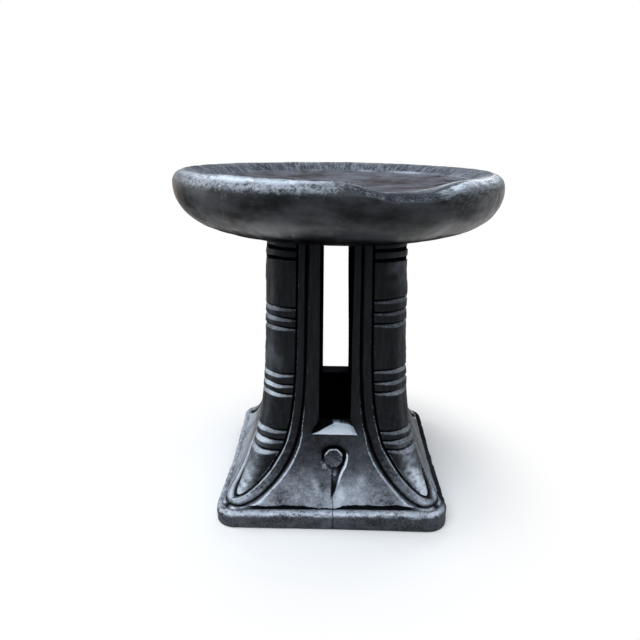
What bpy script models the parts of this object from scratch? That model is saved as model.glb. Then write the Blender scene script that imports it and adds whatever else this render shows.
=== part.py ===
"""A round dished stool on four ringed corner legs, built from its carved members.

The real stool is carved from one block. Its members are parted here along the grooves that the
carver cut: seat, four ringed legs that end in toes, a raised strap round each leg and its toe, four
pierced webs between the legs, the round boss of the keyhole and a square plinth.

Metres, +Z up. The origin is the middle of the underside, and the front faces -Y.
"""

import math

import bmesh
import bpy

# Seat
SEAT_HEIGHT = 0.450  # floor to the crest of the rim
SEAT_DIAMETER = 0.425
SEAT_DEPTH = 0.079  # crest of the rim to the flat underside
RIM_CREST_DIAMETER = 0.396
RIM_CREST_TO_WIDEST = 0.018
DISH_DEPTH = 0.020  # crest of the rim to the middle of the dish
DISH_WALL_DEPTH = 0.0145
DISH_WALL_RUN = 0.030
SEAT_FLAT_DIAMETER = 0.222
RIM_ROUNDNESS = 1.8  # exponent of the curve over the rim, 2 being an ellipse
BOWL_ROUNDNESS = 2.3
SEAT_STEPS = 48
DISH_FLOOR_POINTS = 2
DISH_WALL_POINTS = 3
RIM_POINTS = 5
BOWL_POINTS = 7

# Dip worn into the rim, where the dish runs out over the front edge
DIP_DEPTH = 0.016
DIP_RADIUS = 0.140  # of the round hollow that crosses the rim
DIP_TURN_DEGREES = 23  # from the front towards the right
DIP_SEGMENTS = 90

# Plinth
PLINTH_WIDTH = 0.303
PLINTH_HEIGHT = 0.026
PLINTH_CORNER_RADIUS = 0.030
PLINTH_EDGE_RADIUS = 0.0055
PLINTH_CORNER_STEPS = 6
PLINTH_EDGE_STEPS = 3
ROUND_BEVEL_SHARE = 0.5  # of a bevel's profile, for a plain quarter circle

# Column: flat faces that lean out a little and then sweep out into the foot
COLUMN_WIDTH = 0.178
COLUMN_LEAN = 0.008  # what each face has moved out by at the foot, before the sweep
SWEEP_REACH = 0.048
SWEEP_SHARPNESS = 5.8
CORNER_RADIUS = 0.028
HOLLOW_WIDTH = 0.146
WEB_ROWS = 13
WEB_ROW_CROWDING = 1.7  # above 1, rows lie closer towards the foot
CORNER_POINTS = 4

# Legs, measured over the surface from the corner line
LEG_WRAP = 0.037  # corner line to the groove beside the strap
TOE_SPRING_HEIGHT = 0.105  # where the leg starts to narrow into its toe
TOE_TIP_HEIGHT = 0.036
TOE_ROUNDNESS = 2.0
TOE_TIP_WIDTH = 0.004
BEND_ROWS = 12
LEG_ROWS = 7
LEG_ROW_CROWDING = 1.5  # above 1, rows lie closer towards the toe
LEG_POINTS = 6

# Turned-looking rings on the legs: V grooves, in groups
GROOVE_WIDTH = 0.0045
GROOVE_DEPTH = 0.0026
RING_PITCH = 0.0136
TOP_GROOVE_COUNT = 2
GROOVE_COUNT = 3
TOP_RINGS_SHARE = 0.925  # of the way up from the toe's spring to the seat
UPPER_RINGS_SHARE = 0.632
LOWER_RINGS_SHARE = 0.290
ANKLE_RINGS_DROP = 0.002  # below the toe's spring

# Straps: raised bands down both sides of each leg and round its toe
STRAP_WIDTH = 0.0145
STRAP_DEPTH = 0.010
STRAP_TIP_HEIGHT = 0.029
STRAP_ROUNDNESS = 2.8
STRAP_CHAMFER_WIDTH = 0.0018
STRAP_CHAMFER_DEPTH = 0.0030

# Webs: each face has a slot over a flat sill
SLOT_WIDTH = 0.045
REAR_SLOT_WIDTH = 0.040
SILL_HEIGHT = 0.121
REAR_SILL_RAISE = 0.005  # over the other three sills

# Half-round ledge cut into the front sill
LEDGE_DROP = 0.010  # sill to ledge
LEDGE_WIDTH = 0.058
LEDGE_FLARE_HEIGHT = 0.020  # over which it narrows to the slot
LEDGE_SEGMENTS = 24

# Keyhole in the front apron
KEYHOLE_DROP = 0.028  # ledge to the middle of the keyhole's round end
KEYHOLE_RADIUS = 0.0165
KEYHOLE_DEPTH = 0.0045
KEYHOLE_TAIL_LENGTH = 0.044
KEYHOLE_STEM_WIDTH = 0.009
KEYHOLE_SEGMENTS = 18
BOSS_RADIUS = 0.0113
BOSS_PROUD = 0.0008

# Clearances
JOINT_GAP = 0.0003  # between faces that lie on one another
GROOVE_GAP = 0.0006  # beside a leg or a strap, which have curved sides
OVERRUN = 0.020  # how far a cutter reaches past what it cuts
MERGE_DISTANCE = 0.00001  # joins the turned seat's points on its axis

COLUMN_TOP = SEAT_HEIGHT - SEAT_DEPTH
LEDGE_HEIGHT = SILL_HEIGHT - LEDGE_DROP
KEYHOLE_HEIGHT = LEDGE_HEIGHT - KEYHOLE_DROP
HALF_HOLLOW = HOLLOW_WIDTH / 2
QUARTER_TURN = math.pi / 2
CORNERS = ("front_right", "rear_right", "rear_left", "front_left")
FACES = ("front", "right", "rear", "left")

# Base colour and roughness of each kind of member
WOOD = {
    "seat_wood": ((0.030, 0.030, 0.032), 0.38),
    "leg_wood": ((0.016, 0.017, 0.019), 0.42),
    "strap_wood": ((0.014, 0.015, 0.017), 0.40),
    "web_wood": ((0.022, 0.023, 0.026), 0.45),
    "boss_wood": ((0.030, 0.031, 0.034), 0.48),
    "plinth_wood": ((0.040, 0.041, 0.045), 0.50),
}


def clear_scene():
    for old in list(bpy.data.objects):
        bpy.data.objects.remove(old, do_unlink=True)


def new_collection(name):
    collection = bpy.data.collections.new(name)
    bpy.context.scene.collection.children.link(collection)
    return collection


def wood(name):
    """The material of one kind of member, made on its first use."""
    found = bpy.data.materials.get(name)
    if found:
        return found
    colour, roughness = WOOD[name]
    material = bpy.data.materials.new(name)
    material.use_nodes = True
    shader = material.node_tree.nodes["Principled BSDF"]
    shader.inputs["Base Color"].default_value = (*colour, 1.0)
    shader.inputs["Roughness"].default_value = roughness
    shader.inputs["Metallic"].default_value = 0.0
    return material


def mesh_from(bm, name):
    bmesh.ops.recalc_face_normals(bm, faces=bm.faces)
    mesh = bpy.data.meshes.new(name)
    bm.to_mesh(mesh)
    bm.free()
    return mesh


def place(name, mesh, collection, material=None, quarter=0):
    """An object for a mesh that is modelled at the front, turned to its own face or corner."""
    obj = bpy.data.objects.new(name, mesh)
    obj.rotation_euler.z = quarter * QUARTER_TURN
    collection.objects.link(obj)
    if material and not mesh.materials:
        mesh.materials.append(wood(material))
    return obj


def place_cutter(name, mesh, collection, quarter=0):
    cutter = place(name, mesh, collection, quarter=quarter)
    cutter.hide_render = True
    cutter.display_type = "WIRE"
    return cutter


def cut(obj, cutter):
    boolean = obj.modifiers.new(cutter.name, "BOOLEAN")
    boolean.operation = "DIFFERENCE"
    boolean.solver = "EXACT"
    boolean.object = cutter


def loft(rows, name, mirrored=False):
    """A closed body through rows of points that have equal counts, capped at both ends.

    Each quad is split along a set diagonal, so that a twisted side matches the room cut for it.
    mirrored turns the diagonals round over the second half of a row that is its own mirror image.
    """
    bm = bmesh.new()
    rings = [[bm.verts.new(point) for point in row] for row in rows]
    count = len(rings[0])
    for upper, lower in zip(rings, rings[1:]):
        for i in range(count):
            j = (i + 1) % count
            if mirrored and (count - 1) / 2 <= i < count - 1:
                bm.faces.new((upper[i], upper[j], lower[i]))
                bm.faces.new((upper[j], lower[j], lower[i]))
            else:
                bm.faces.new((upper[i], upper[j], lower[j]))
                bm.faces.new((upper[i], lower[j], lower[i]))
    bm.faces.new(rings[0])
    bm.faces.new(rings[-1])
    return mesh_from(bm, name)


def superellipse(share, roundness):
    """How wide a rounded end still is, as a share, at this share of the way to its tip."""
    return (1 - min(share, 1.0) ** roundness) ** (1 / roundness)


def face_distance(height):
    """From the column's axis to its faces at a height."""
    fall = (COLUMN_TOP - height) / (COLUMN_TOP - PLINTH_HEIGHT)
    sweep = SWEEP_REACH * max(fall, 0.0) ** SWEEP_SHARPNESS
    return COLUMN_WIDTH / 2 + COLUMN_LEAN * fall + sweep


def face_slope(height):
    """The angle that a face leans back from upright at a height."""
    step = JOINT_GAP
    run = face_distance(height - step) - face_distance(height + step)
    return math.atan2(run, 2 * step)


def carved_point(along, height, depth):
    """A point of the front right corner, sunk by a depth below the column's surface.

    along is measured over the surface from the corner line, positive over the front face and
    negative over the right face. A depth runs level, square to the surface's outline.
    """
    reach = face_distance(height)
    centre = reach - CORNER_RADIUS
    round_half = CORNER_RADIUS * math.pi / 4
    away = abs(along)
    if away >= round_half:
        across = centre + round_half - away
        out = reach - depth
    else:
        angle = math.pi / 4 + away / CORNER_RADIUS
        across = centre + (CORNER_RADIUS - depth) * math.cos(angle)
        out = centre + (CORNER_RADIUS - depth) * math.sin(angle)
    if along >= 0:
        return (across, -out, height)
    return (out, -across, height)


def inner_corner(along, height):
    """Where lines square to the surface meet, from this distance on both sides of the corner."""
    reach = face_distance(height)
    back = max(CORNER_RADIUS, CORNER_RADIUS + along - CORNER_RADIUS * math.pi / 4)
    return reach - back


def leg_wrap(height, margin):
    """Half the leg's width over the surface at a height. It narrows below the toe's spring."""
    drop = TOE_SPRING_HEIGHT - height
    length = TOE_SPRING_HEIGHT - TOE_TIP_HEIGHT + margin
    full = LEG_WRAP + margin
    if drop <= 0:
        return full
    narrow = full * superellipse(drop / length, TOE_ROUNDNESS)
    return max(narrow, TOE_TIP_WIDTH / 2)


def straight_heights(top):
    """Heights from the top of the column to the toe's spring, closer where the sweep begins."""
    span = COLUMN_TOP - TOE_SPRING_HEIGHT
    shares = [(1 - i / LEG_ROWS) ** LEG_ROW_CROWDING for i in range(1, LEG_ROWS)]
    return [top] + [TOE_SPRING_HEIGHT + span * share for share in shares]


def leg_outline_heights(top, margin):
    """Heights that follow the leg's sweep and then its toe's rounded outline."""
    length = TOE_SPRING_HEIGHT - TOE_TIP_HEIGHT + margin
    share = 2 / TOE_ROUNDNESS
    last = math.acos((TOE_TIP_WIDTH / 2 / (LEG_WRAP + margin)) ** (1 / share))
    turns = [QUARTER_TURN * i / BEND_ROWS for i in range(BEND_ROWS)] + [last]
    toe = [TOE_SPRING_HEIGHT - length * math.sin(turn) ** share for turn in turns]
    return straight_heights(top) + toe


def ring_heights():
    """Heights of the grooves. Three groups are spread up the leg and one crosses its ankle."""
    run = COLUMN_TOP - TOE_SPRING_HEIGHT
    groups = (
        (TOE_SPRING_HEIGHT + run * TOP_RINGS_SHARE, TOP_GROOVE_COUNT),
        (TOE_SPRING_HEIGHT + run * UPPER_RINGS_SHARE, GROOVE_COUNT),
        (TOE_SPRING_HEIGHT + run * LOWER_RINGS_SHARE, GROOVE_COUNT),
        (TOE_SPRING_HEIGHT - ANKLE_RINGS_DROP, GROOVE_COUNT),
    )
    return [
        centre + RING_PITCH * (i - (count - 1) / 2)
        for centre, count in groups
        for i in range(count)
    ]


def leg_mesh():
    """The ringed leg with its toe. Each row is a corner square with a round outer corner."""
    grooves = ring_heights()
    half = GROOVE_WIDTH / 2
    cuts = {}
    for height in grooves:
        cuts[height + half] = 0.0
        cuts[height] = GROOVE_DEPTH
        cuts[height - half] = 0.0
    for height in leg_outline_heights(COLUMN_TOP - JOINT_GAP, 0.0):
        if all(abs(height - centre) > GROOVE_WIDTH for centre in grooves):
            cuts[height] = 0.0
    rows = []
    for height in sorted(cuts, reverse=True):
        wrap = leg_wrap(height, 0.0)
        shoulder = wrap - min(STRAP_CHAMFER_WIDTH, wrap / 2)
        row = [carved_point(-wrap, height, depth) for depth in (STRAP_DEPTH, STRAP_CHAMFER_DEPTH)]
        for i in range(LEG_POINTS + 1):
            along = shoulder * (2 * i / LEG_POINTS - 1)
            row.append(carved_point(along, height, cuts[height]))
        row += [carved_point(wrap, height, depth) for depth in (STRAP_CHAMFER_DEPTH, STRAP_DEPTH)]
        corner = inner_corner(wrap, height)
        row.append((corner, -corner, height))
        rows.append(row)
    return loft(rows, "leg", mirrored=True)


def leg_cutter_mesh():
    """The leg without its grooves, grown by the groove's gap and reaching out past the surface."""
    rows = []
    for height in leg_outline_heights(COLUMN_TOP + OVERRUN, GROOVE_GAP):
        wrap = leg_wrap(height, GROOVE_GAP)
        row = [carved_point(-wrap, height, STRAP_DEPTH)]
        for i in range(LEG_POINTS + 1):
            along = wrap * (2 * i / LEG_POINTS - 1)
            row.append(carved_point(along, height, -OVERRUN))
        row.append(carved_point(wrap, height, STRAP_DEPTH))
        corner = inner_corner(wrap, height)
        row.append((corner, -corner, height))
        rows.append(row)
    return loft(rows, "leg_cutter", mirrored=True)


def strap_line(turn, wrap, tip_height, roundness):
    """(along, height) on one edge of the strap's bend, for a turn from 0 at the front to pi."""
    across = math.cos(turn)
    share = 2 / roundness
    along = math.copysign(wrap * abs(across) ** share, across)
    drop = (TOE_SPRING_HEIGHT - tip_height) * abs(math.sin(turn)) ** share
    return along, TOE_SPRING_HEIGHT - drop


def strap_stations(top, inner_grow, outer_grow):
    """Pairs of (along, height), inner and outer edge, down the front, round the toe and back up."""
    inner = LEG_WRAP + inner_grow
    outer = LEG_WRAP + STRAP_WIDTH + outer_grow
    down = [((inner, height), (outer, height)) for height in straight_heights(top)]
    stations = list(down)
    count = 2 * BEND_ROWS
    for i in range(count + 1):
        turn = math.pi * i / count
        stations.append(
            (
                strap_line(turn, inner, TOE_TIP_HEIGHT - inner_grow, TOE_ROUNDNESS),
                strap_line(turn, outer, STRAP_TIP_HEIGHT - outer_grow, STRAP_ROUNDNESS),
            )
        )
    for (inner_along, inner_height), (outer_along, outer_height) in reversed(down):
        stations.append(((-inner_along, inner_height), (-outer_along, outer_height)))
    return stations


def strap_mesh(name, top, section, inner_grow, outer_grow):
    """A band along the strap's stations. section has (share across, offset across, depth)."""
    rows = []
    for inner, outer in strap_stations(top, inner_grow, outer_grow):
        across = (outer[0] - inner[0], outer[1] - inner[1])
        width = math.hypot(*across)
        row = []
        for share, offset, depth in section:
            reach = share + offset / width
            along = inner[0] + across[0] * reach
            height = inner[1] + across[1] * reach
            row.append(carved_point(along, height, depth))
        rows.append(row)
    return loft(rows, name)


def strap_band():
    section = (
        (0, STRAP_CHAMFER_WIDTH, 0.0),
        (1, -STRAP_CHAMFER_WIDTH, 0.0),
        (1, 0.0, STRAP_CHAMFER_DEPTH),
        (1, 0.0, STRAP_DEPTH),
        (0, 0.0, STRAP_DEPTH),
        (0, 0.0, STRAP_CHAMFER_DEPTH),
    )
    return strap_mesh("strap", COLUMN_TOP - JOINT_GAP, section, GROOVE_GAP, 0.0)


def strap_channel():
    """What the webs lose for the strap: its room and the bevel on the far side of its groove."""
    flare = STRAP_CHAMFER_WIDTH / STRAP_CHAMFER_DEPTH
    section = (
        (0, 0.0, -OVERRUN),
        (1, flare * (STRAP_CHAMFER_DEPTH + OVERRUN), -OVERRUN),
        (1, 0.0, STRAP_CHAMFER_DEPTH),
        (1, 0.0, STRAP_DEPTH + GROOVE_GAP),
        (0, 0.0, STRAP_DEPTH + GROOVE_GAP),
    )
    return strap_mesh(
        "strap_channel", COLUMN_TOP + OVERRUN, section, -2 * STRAP_CHAMFER_WIDTH, GROOVE_GAP
    )


def web_mass_mesh():
    """The front quarter of the column's mass, mitred at the corners, before anything is cut."""
    bottom = PLINTH_HEIGHT + JOINT_GAP
    top = COLUMN_TOP - JOINT_GAP
    round_half = CORNER_RADIUS * math.pi / 4
    rows = []
    for i in range(WEB_ROWS + 1):
        height = bottom + (top - bottom) * (1 - i / WEB_ROWS) ** WEB_ROW_CROWDING
        right = []
        for k in range(CORNER_POINTS + 1):
            x, y, z = carved_point(round_half * k / CORNER_POINTS, height, 0.0)
            right.append((x - JOINT_GAP if k == 0 else x, y, z))
        left = [(-x, y, z) for x, y, z in reversed(right)]
        inner_x = HALF_HOLLOW - JOINT_GAP
        inner = [(-inner_x, -HALF_HOLLOW, height), (inner_x, -HALF_HOLLOW, height)]
        rows.append(right + left + inner)
    return loft(rows, "web_mass")


def box_mesh(name, low, high):
    bm = bmesh.new()
    bmesh.ops.create_cube(bm, size=1.0)
    for vert in bm.verts:
        for axis in range(3):
            middle = (low[axis] + high[axis]) / 2
            vert.co[axis] = middle + vert.co[axis] * (high[axis] - low[axis])
    return mesh_from(bm, name)


def slot_mesh(width, sill):
    low = (-width / 2, -face_distance(PLINTH_HEIGHT) - OVERRUN, sill)
    high = (width / 2, -HALF_HOLLOW + OVERRUN, COLUMN_TOP + OVERRUN)
    return box_mesh("slot", low, high)


def ledge_mesh():
    """A standing cone, centred on the front face, whose flat end is the ledge."""
    bm = bmesh.new()
    bmesh.ops.create_cone(
        bm,
        cap_ends=True,
        segments=LEDGE_SEGMENTS,
        radius1=LEDGE_WIDTH / 2,
        radius2=SLOT_WIDTH / 2,
        depth=LEDGE_FLARE_HEIGHT,
    )
    middle = (0, -face_distance(LEDGE_HEIGHT), LEDGE_HEIGHT + LEDGE_FLARE_HEIGHT / 2)
    bmesh.ops.translate(bm, vec=middle, verts=bm.verts)
    return mesh_from(bm, "ledge")


def on_apron(obj):
    """Stands an object on the front apron: its Z square to the surface and its Y up the slope."""
    obj.location = (0, -face_distance(KEYHOLE_HEIGHT), KEYHOLE_HEIGHT)
    obj.rotation_euler.x = QUARTER_TURN - face_slope(KEYHOLE_HEIGHT)


def keyhole_mesh():
    """A round recess with a stem that runs out to nothing at the surface, below it."""
    half_mouth = math.asin(KEYHOLE_STEM_WIDTH / 2 / KEYHOLE_RADIUS)
    start = -QUARTER_TURN + half_mouth
    sweep = 2 * (math.pi - half_mouth)
    slope = face_slope(KEYHOLE_HEIGHT)
    drop = KEYHOLE_TAIL_LENGTH * math.cos(slope)
    back = face_distance(KEYHOLE_HEIGHT - drop) - face_distance(KEYHOLE_HEIGHT)
    tail_rise = back * math.cos(slope) - drop * math.sin(slope)
    outline = []
    for i in range(KEYHOLE_SEGMENTS + 1):
        angle = start + sweep * i / KEYHOLE_SEGMENTS
        x = KEYHOLE_RADIUS * math.cos(angle)
        y = KEYHOLE_RADIUS * math.sin(angle)
        outline.append((x, y, -KEYHOLE_DEPTH))
    outline.append((0, -KEYHOLE_TAIL_LENGTH, tail_rise))
    top = [(x, y, OVERRUN) for x, y, _ in outline]
    return loft([top, outline], "keyhole")


def boss_mesh():
    bm = bmesh.new()
    height = KEYHOLE_DEPTH - JOINT_GAP + BOSS_PROUD
    bmesh.ops.create_cone(
        bm,
        cap_ends=True,
        segments=KEYHOLE_SEGMENTS,
        radius1=BOSS_RADIUS,
        radius2=BOSS_RADIUS,
        depth=height,
    )
    bmesh.ops.translate(bm, vec=(0, 0, BOSS_PROUD - height / 2), verts=bm.verts)
    return mesh_from(bm, "keyhole_boss")


def plinth_mesh():
    """A square slab with round corners and a rounded top edge."""
    bm = bmesh.new()
    bmesh.ops.create_cube(bm, size=1.0)
    for vert in bm.verts:
        vert.co.x *= PLINTH_WIDTH
        vert.co.y *= PLINTH_WIDTH
        vert.co.z = PLINTH_HEIGHT if vert.co.z > 0 else 0.0
    upright = [e for e in bm.edges if abs(e.verts[0].co.z - e.verts[1].co.z) > JOINT_GAP]
    bmesh.ops.bevel(
        bm,
        geom=upright,
        offset=PLINTH_CORNER_RADIUS,
        offset_type="OFFSET",
        segments=PLINTH_CORNER_STEPS,
        profile=ROUND_BEVEL_SHARE,
        affect="EDGES",
    )
    top = [
        e
        for e in bm.edges
        if all(abs(v.co.z - PLINTH_HEIGHT) < JOINT_GAP for v in e.verts)
    ]
    bmesh.ops.bevel(
        bm,
        geom=top,
        offset=PLINTH_EDGE_RADIUS,
        offset_type="OFFSET",
        segments=PLINTH_EDGE_STEPS,
        profile=ROUND_BEVEL_SHARE,
        affect="EDGES",
    )
    return mesh_from(bm, "plinth")


def seat_profile():
    """Half the seat's section, from the middle of the dish out over the rim and back under."""
    radius = SEAT_DIAMETER / 2
    crest = RIM_CREST_DIAMETER / 2
    flat = SEAT_FLAT_DIAMETER / 2
    widest = SEAT_HEIGHT - RIM_CREST_TO_WIDEST
    dish_edge = crest - DISH_WALL_RUN
    wall_foot = SEAT_HEIGHT - DISH_WALL_DEPTH
    points = []
    for i in range(DISH_FLOOR_POINTS + 1):
        out = i / DISH_FLOOR_POINTS
        sag = (DISH_DEPTH - DISH_WALL_DEPTH) * (1 - out**2)
        points.append((dish_edge * out, wall_foot - sag))
    for i in range(1, DISH_WALL_POINTS):
        up = i / DISH_WALL_POINTS
        rise = DISH_WALL_DEPTH * (1 - (1 - up) ** 2)
        points.append((dish_edge + DISH_WALL_RUN * up, wall_foot + rise))
    share = 2 / RIM_ROUNDNESS
    for i in range(RIM_POINTS + 1):
        turn = QUARTER_TURN * (1 - i / RIM_POINTS)
        x = crest + (radius - crest) * math.cos(turn) ** share
        z = widest + (SEAT_HEIGHT - widest) * math.sin(turn) ** share
        points.append((x, z))
    share = 2 / BOWL_ROUNDNESS
    for i in range(1, BOWL_POINTS + 1):
        turn = QUARTER_TURN * i / BOWL_POINTS
        x = flat + (radius - flat) * math.cos(turn) ** share
        z = widest - (widest - COLUMN_TOP) * math.sin(turn) ** share
        points.append((x, z))
    points.append((0.0, COLUMN_TOP))
    return points


def dip_mesh():
    bm = bmesh.new()
    bmesh.ops.create_cone(
        bm,
        cap_ends=True,
        segments=DIP_SEGMENTS,
        radius1=DIP_RADIUS,
        radius2=DIP_RADIUS,
        depth=RIM_CREST_DIAMETER / 2,
    )
    return mesh_from(bm, "dip")


def on_rim(obj):
    """Lays an upright cutter across the rim, pointing out from the seat's middle."""
    turn = math.radians(DIP_TURN_DEGREES)
    out = RIM_CREST_DIAMETER / 2
    obj.location.x = out * math.sin(turn)
    obj.location.y = -out * math.cos(turn)
    obj.location.z = SEAT_HEIGHT - DIP_DEPTH + DIP_RADIUS
    obj.rotation_euler = (QUARTER_TURN, 0.0, turn)


def make_seat(collection, cutters):
    """The turned seat, less the dip that is worn into its rim."""
    bm = bmesh.new()
    verts = [bm.verts.new((x, 0, z)) for x, z in seat_profile()]
    for upper, lower in zip(verts, verts[1:]):
        bm.edges.new((upper, lower))
    mesh = bpy.data.meshes.new("seat")
    bm.to_mesh(mesh)
    bm.free()
    seat = place("seat", mesh, collection, "seat_wood")
    screw = seat.modifiers.new("turned", "SCREW")
    screw.axis = "Z"
    screw.steps = SEAT_STEPS
    screw.render_steps = SEAT_STEPS
    screw.use_merge_vertices = True
    screw.merge_threshold = MERGE_DISTANCE
    screw.use_smooth_shade = True
    dip = place_cutter("dip", dip_mesh(), cutters)
    on_rim(dip)
    cut(seat, dip)


def make_legs_and_straps(parts, cutters):
    """One leg and one strap at each corner, and what the webs lose for them."""
    leg = leg_mesh()
    strap = strap_band()
    leg_room = leg_cutter_mesh()
    channel = strap_channel()
    rooms = []
    for quarter, corner in enumerate(CORNERS):
        place(f"leg_{corner}", leg, parts, "leg_wood", quarter)
        place(f"strap_{corner}", strap, parts, "strap_wood", quarter)
        rooms.append(
            (
                place_cutter(f"leg_room_{corner}", leg_room, cutters, quarter),
                place_cutter(f"strap_room_{corner}", channel, cutters, quarter),
            )
        )
    return rooms


def make_webs(parts, cutters, rooms):
    """A pierced web on each face, between the two legs beside it."""
    webs = {}
    for quarter, face in enumerate(FACES):
        web = place(f"web_{face}", web_mass_mesh(), parts, "web_wood", quarter)
        for corner in (quarter, quarter - 1):
            for room in rooms[corner]:
                cut(web, room)
        rear = face == "rear"
        width = REAR_SLOT_WIDTH if rear else SLOT_WIDTH
        sill = SILL_HEIGHT + REAR_SILL_RAISE if rear else SILL_HEIGHT
        cut(web, place_cutter(f"slot_{face}", slot_mesh(width, sill), cutters, quarter))
        webs[face] = web
    return webs


def make_front_details(parts, cutters, web):
    """The half-round ledge in the front sill, and the keyhole with its boss."""
    cut(web, place_cutter("ledge", ledge_mesh(), cutters))
    keyhole = place_cutter("keyhole", keyhole_mesh(), cutters)
    on_apron(keyhole)
    cut(web, keyhole)
    on_apron(place("keyhole_boss", boss_mesh(), parts, "boss_wood"))


def main():
    clear_scene()
    parts = new_collection("ringed_leg_stool")
    cutters = new_collection("cutters")
    make_seat(parts, cutters)
    rooms = make_legs_and_straps(parts, cutters)
    webs = make_webs(parts, cutters, rooms)
    make_front_details(parts, cutters, webs["front"])
    place("plinth", plinth_mesh(), parts, "plinth_wood")


main()
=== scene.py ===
"""Finished surfaces for a carved stool with ringed corner legs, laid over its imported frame.

The file is laid out as an add-on and is run as a script. Metres, +Z up, the front faces -Y.
"""

import math

import bpy
import numpy as np
from bpy.props import FloatProperty, FloatVectorProperty, PointerProperty
from mathutils import Matrix, Vector


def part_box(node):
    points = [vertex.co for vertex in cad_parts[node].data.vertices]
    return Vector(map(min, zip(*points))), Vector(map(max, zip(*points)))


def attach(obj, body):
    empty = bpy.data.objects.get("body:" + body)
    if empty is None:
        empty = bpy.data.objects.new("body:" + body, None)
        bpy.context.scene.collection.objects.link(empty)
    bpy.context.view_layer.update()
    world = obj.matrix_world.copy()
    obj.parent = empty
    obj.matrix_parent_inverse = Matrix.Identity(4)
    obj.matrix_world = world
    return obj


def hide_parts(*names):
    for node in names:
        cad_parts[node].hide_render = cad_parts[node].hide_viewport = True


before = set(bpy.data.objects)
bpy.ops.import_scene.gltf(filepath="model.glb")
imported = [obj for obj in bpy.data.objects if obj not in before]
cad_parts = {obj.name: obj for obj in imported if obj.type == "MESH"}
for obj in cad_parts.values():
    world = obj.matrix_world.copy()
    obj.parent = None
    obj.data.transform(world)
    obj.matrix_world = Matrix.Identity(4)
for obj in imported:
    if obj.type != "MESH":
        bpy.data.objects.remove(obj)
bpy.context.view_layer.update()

bl_info = {
    "name": "Carved ring-leg stool",
    "version": (1, 0, 0),
    "blender": (4, 5, 0),
    "location": "3D View > Sidebar > Stool",
    "description": "Carves the stool's seat, legs, straps, webs and plinth as finished surfaces",
    "category": "Object",
}

CORNERS = ("front_right", "rear_right", "rear_left", "front_left")
FACES = ("front", "right", "rear", "left")
GAP = 0.0003  # between neighbouring members, at the bottom of a carved groove
MOST_SUNK = 0.0095  # of a leg or a strap, at the bottom of its grooves

# Seat: insets are from its outer edge, and drops from its highest point
CREST_INSET = 0.0150
DISH_INSET = 0.0445
UNDERSIDE_RADIUS = 0.111
FLOOR_DROP = 0.0150
FLOOR_SAG = 0.0052
WIDEST_DROP = 0.0180
RIM_FULLNESS = 1.9  # exponent of the curve over the rim

# Slots, the half-round ledge in the front sill, the keyhole and its disc
REAR_HALF_SLOT = 0.0195
REAR_SILL_RAISE = 0.005
LEDGE_RADIUS = 0.0306
LEDGE_DROP = 0.0077
LEDGE_FULLNESS = 2.7
FLARE_HEIGHT = 0.020  # over which the ledge narrows to the slot
KEYHOLE_HEIGHT = 0.0832  # middle of its round end
BOSS_HEIGHT = 0.0836
BOSS_RADIUS = 0.0127

# Plinth: its corners' radius, its shoulder and its lower edge
PLINTH_CORNER = 0.028
SHOULDER_IN, SHOULDER_DOWN, SHOULDER_FULLNESS = 0.0075, 0.0080, 2.2
EDGE_IN, EDGE_UP = 0.0030, 0.0035

# Heights of the carved ring grooves on each leg, from the top down
RING_HEIGHTS = {
    "front_right": (0.3572, 0.3445, 0.2940, 0.2785, 0.2625, 0.2000, 0.1850, 0.1705, 0.1170, 0.1045, 0.0930),
    "rear_right": (0.3570, 0.3450, 0.2880, 0.2740, 0.2600, 0.1970, 0.1830, 0.1690, 0.1160, 0.1030, 0.0910),
    "rear_left": (0.3575, 0.3440, 0.2860, 0.2720, 0.2590, 0.1950, 0.1810, 0.1680, 0.1165, 0.1035, 0.0905),
    "front_left": (0.3572, 0.3450, 0.2825, 0.2690, 0.2560, 0.1925, 0.1785, 0.1660, 0.1155, 0.1028, 0.0902),
}

# How bright each leg's ring lips are from wear and painted highlight, the left legs brighter as if lit from
# the left, the height of its patch of painted sheen, how bright the painted highlight on its toe is
# and how far that brightness lies off the corner line, above the toe's tip
LEG_WEAR_AND_HIGHLIGHTS = {
    "front_right": (0.38, 0.334, 2.2, 0.0080),
    "rear_right": (0.50, 0.240, 1.0, 0.0),
    "rear_left": (0.55, 0.310, 1.0, 0.0),
    "front_left": (0.85, 0.215, 1.05, 0.0),
}

# The side of each leg, by the sign of along, where the strap's inner wall is painted pale as the lit side,
# how pale it is, and how bright the painted highlight on the strap's inner edge is
STRAP_LIGHT = {
    "front_right": (-1, 0.10, 0.55),
    "rear_right": (1, 0.3, 0.7),
    "rear_left": (-1, 0.3, 0.7),
    "front_left": (1, 0.85, 0.9),
}
PLAIN_GROOVES = 2  # of each leg, under the seat

# Where each foot strays from: x, y and spread, then the way it strays and where that fades out
FOOT_STRAYS = (
    (-0.145, -0.145, 0.060, -0.0046, -0.0012, 0.075),
    (-0.140, 0.140, 0.070, -0.0046, 0.0040, 0.120),
    (0.140, 0.140, 0.060, 0.0010, 0.0030, 0.110),
    (0.130, -0.150, 0.045, 0.0010, -0.0010, 0.060),
)

# Edges of the front slot and of the straps beside it: x, spread and the way each strays
EDGE_STRAYS = (
    (-0.0235, 0.006, 0.0030),
    (-0.0340, 0.007, -0.0024),
    (0.0340, 0.006, -0.0012),
    (0.0470, 0.009, -0.0018),
)

# Pale strokes on the front apron: strength, x, z, slant, width and height
APRON_STROKES = (
    (1.0, -0.022, 0.052, 0.5, 0.0035, 0.009),
    (0.8, 0.0121, 0.044, 0.1, 0.004, 0.008),
    (0.7, 0.037, 0.058, 0.0, 0.006, 0.007),
    (0.8, 0.009, 0.040, 0.0, 0.007, 0.010),
)

# Colour of painted shade: the painted_shade trait darkens grooves, cracks, recesses, undersides and shaded
# sides towards it
PAINTED_SHADE_BLACK = (0.0015, 0.0016, 0.002)
# Painted reflection: a warm colour standing in for warm room light reflected on the bowl's side edges
PAINTED_WARM_REFLECTION = (0.30, 0.20, 0.15)  # on the two side edges of the bowl

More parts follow.
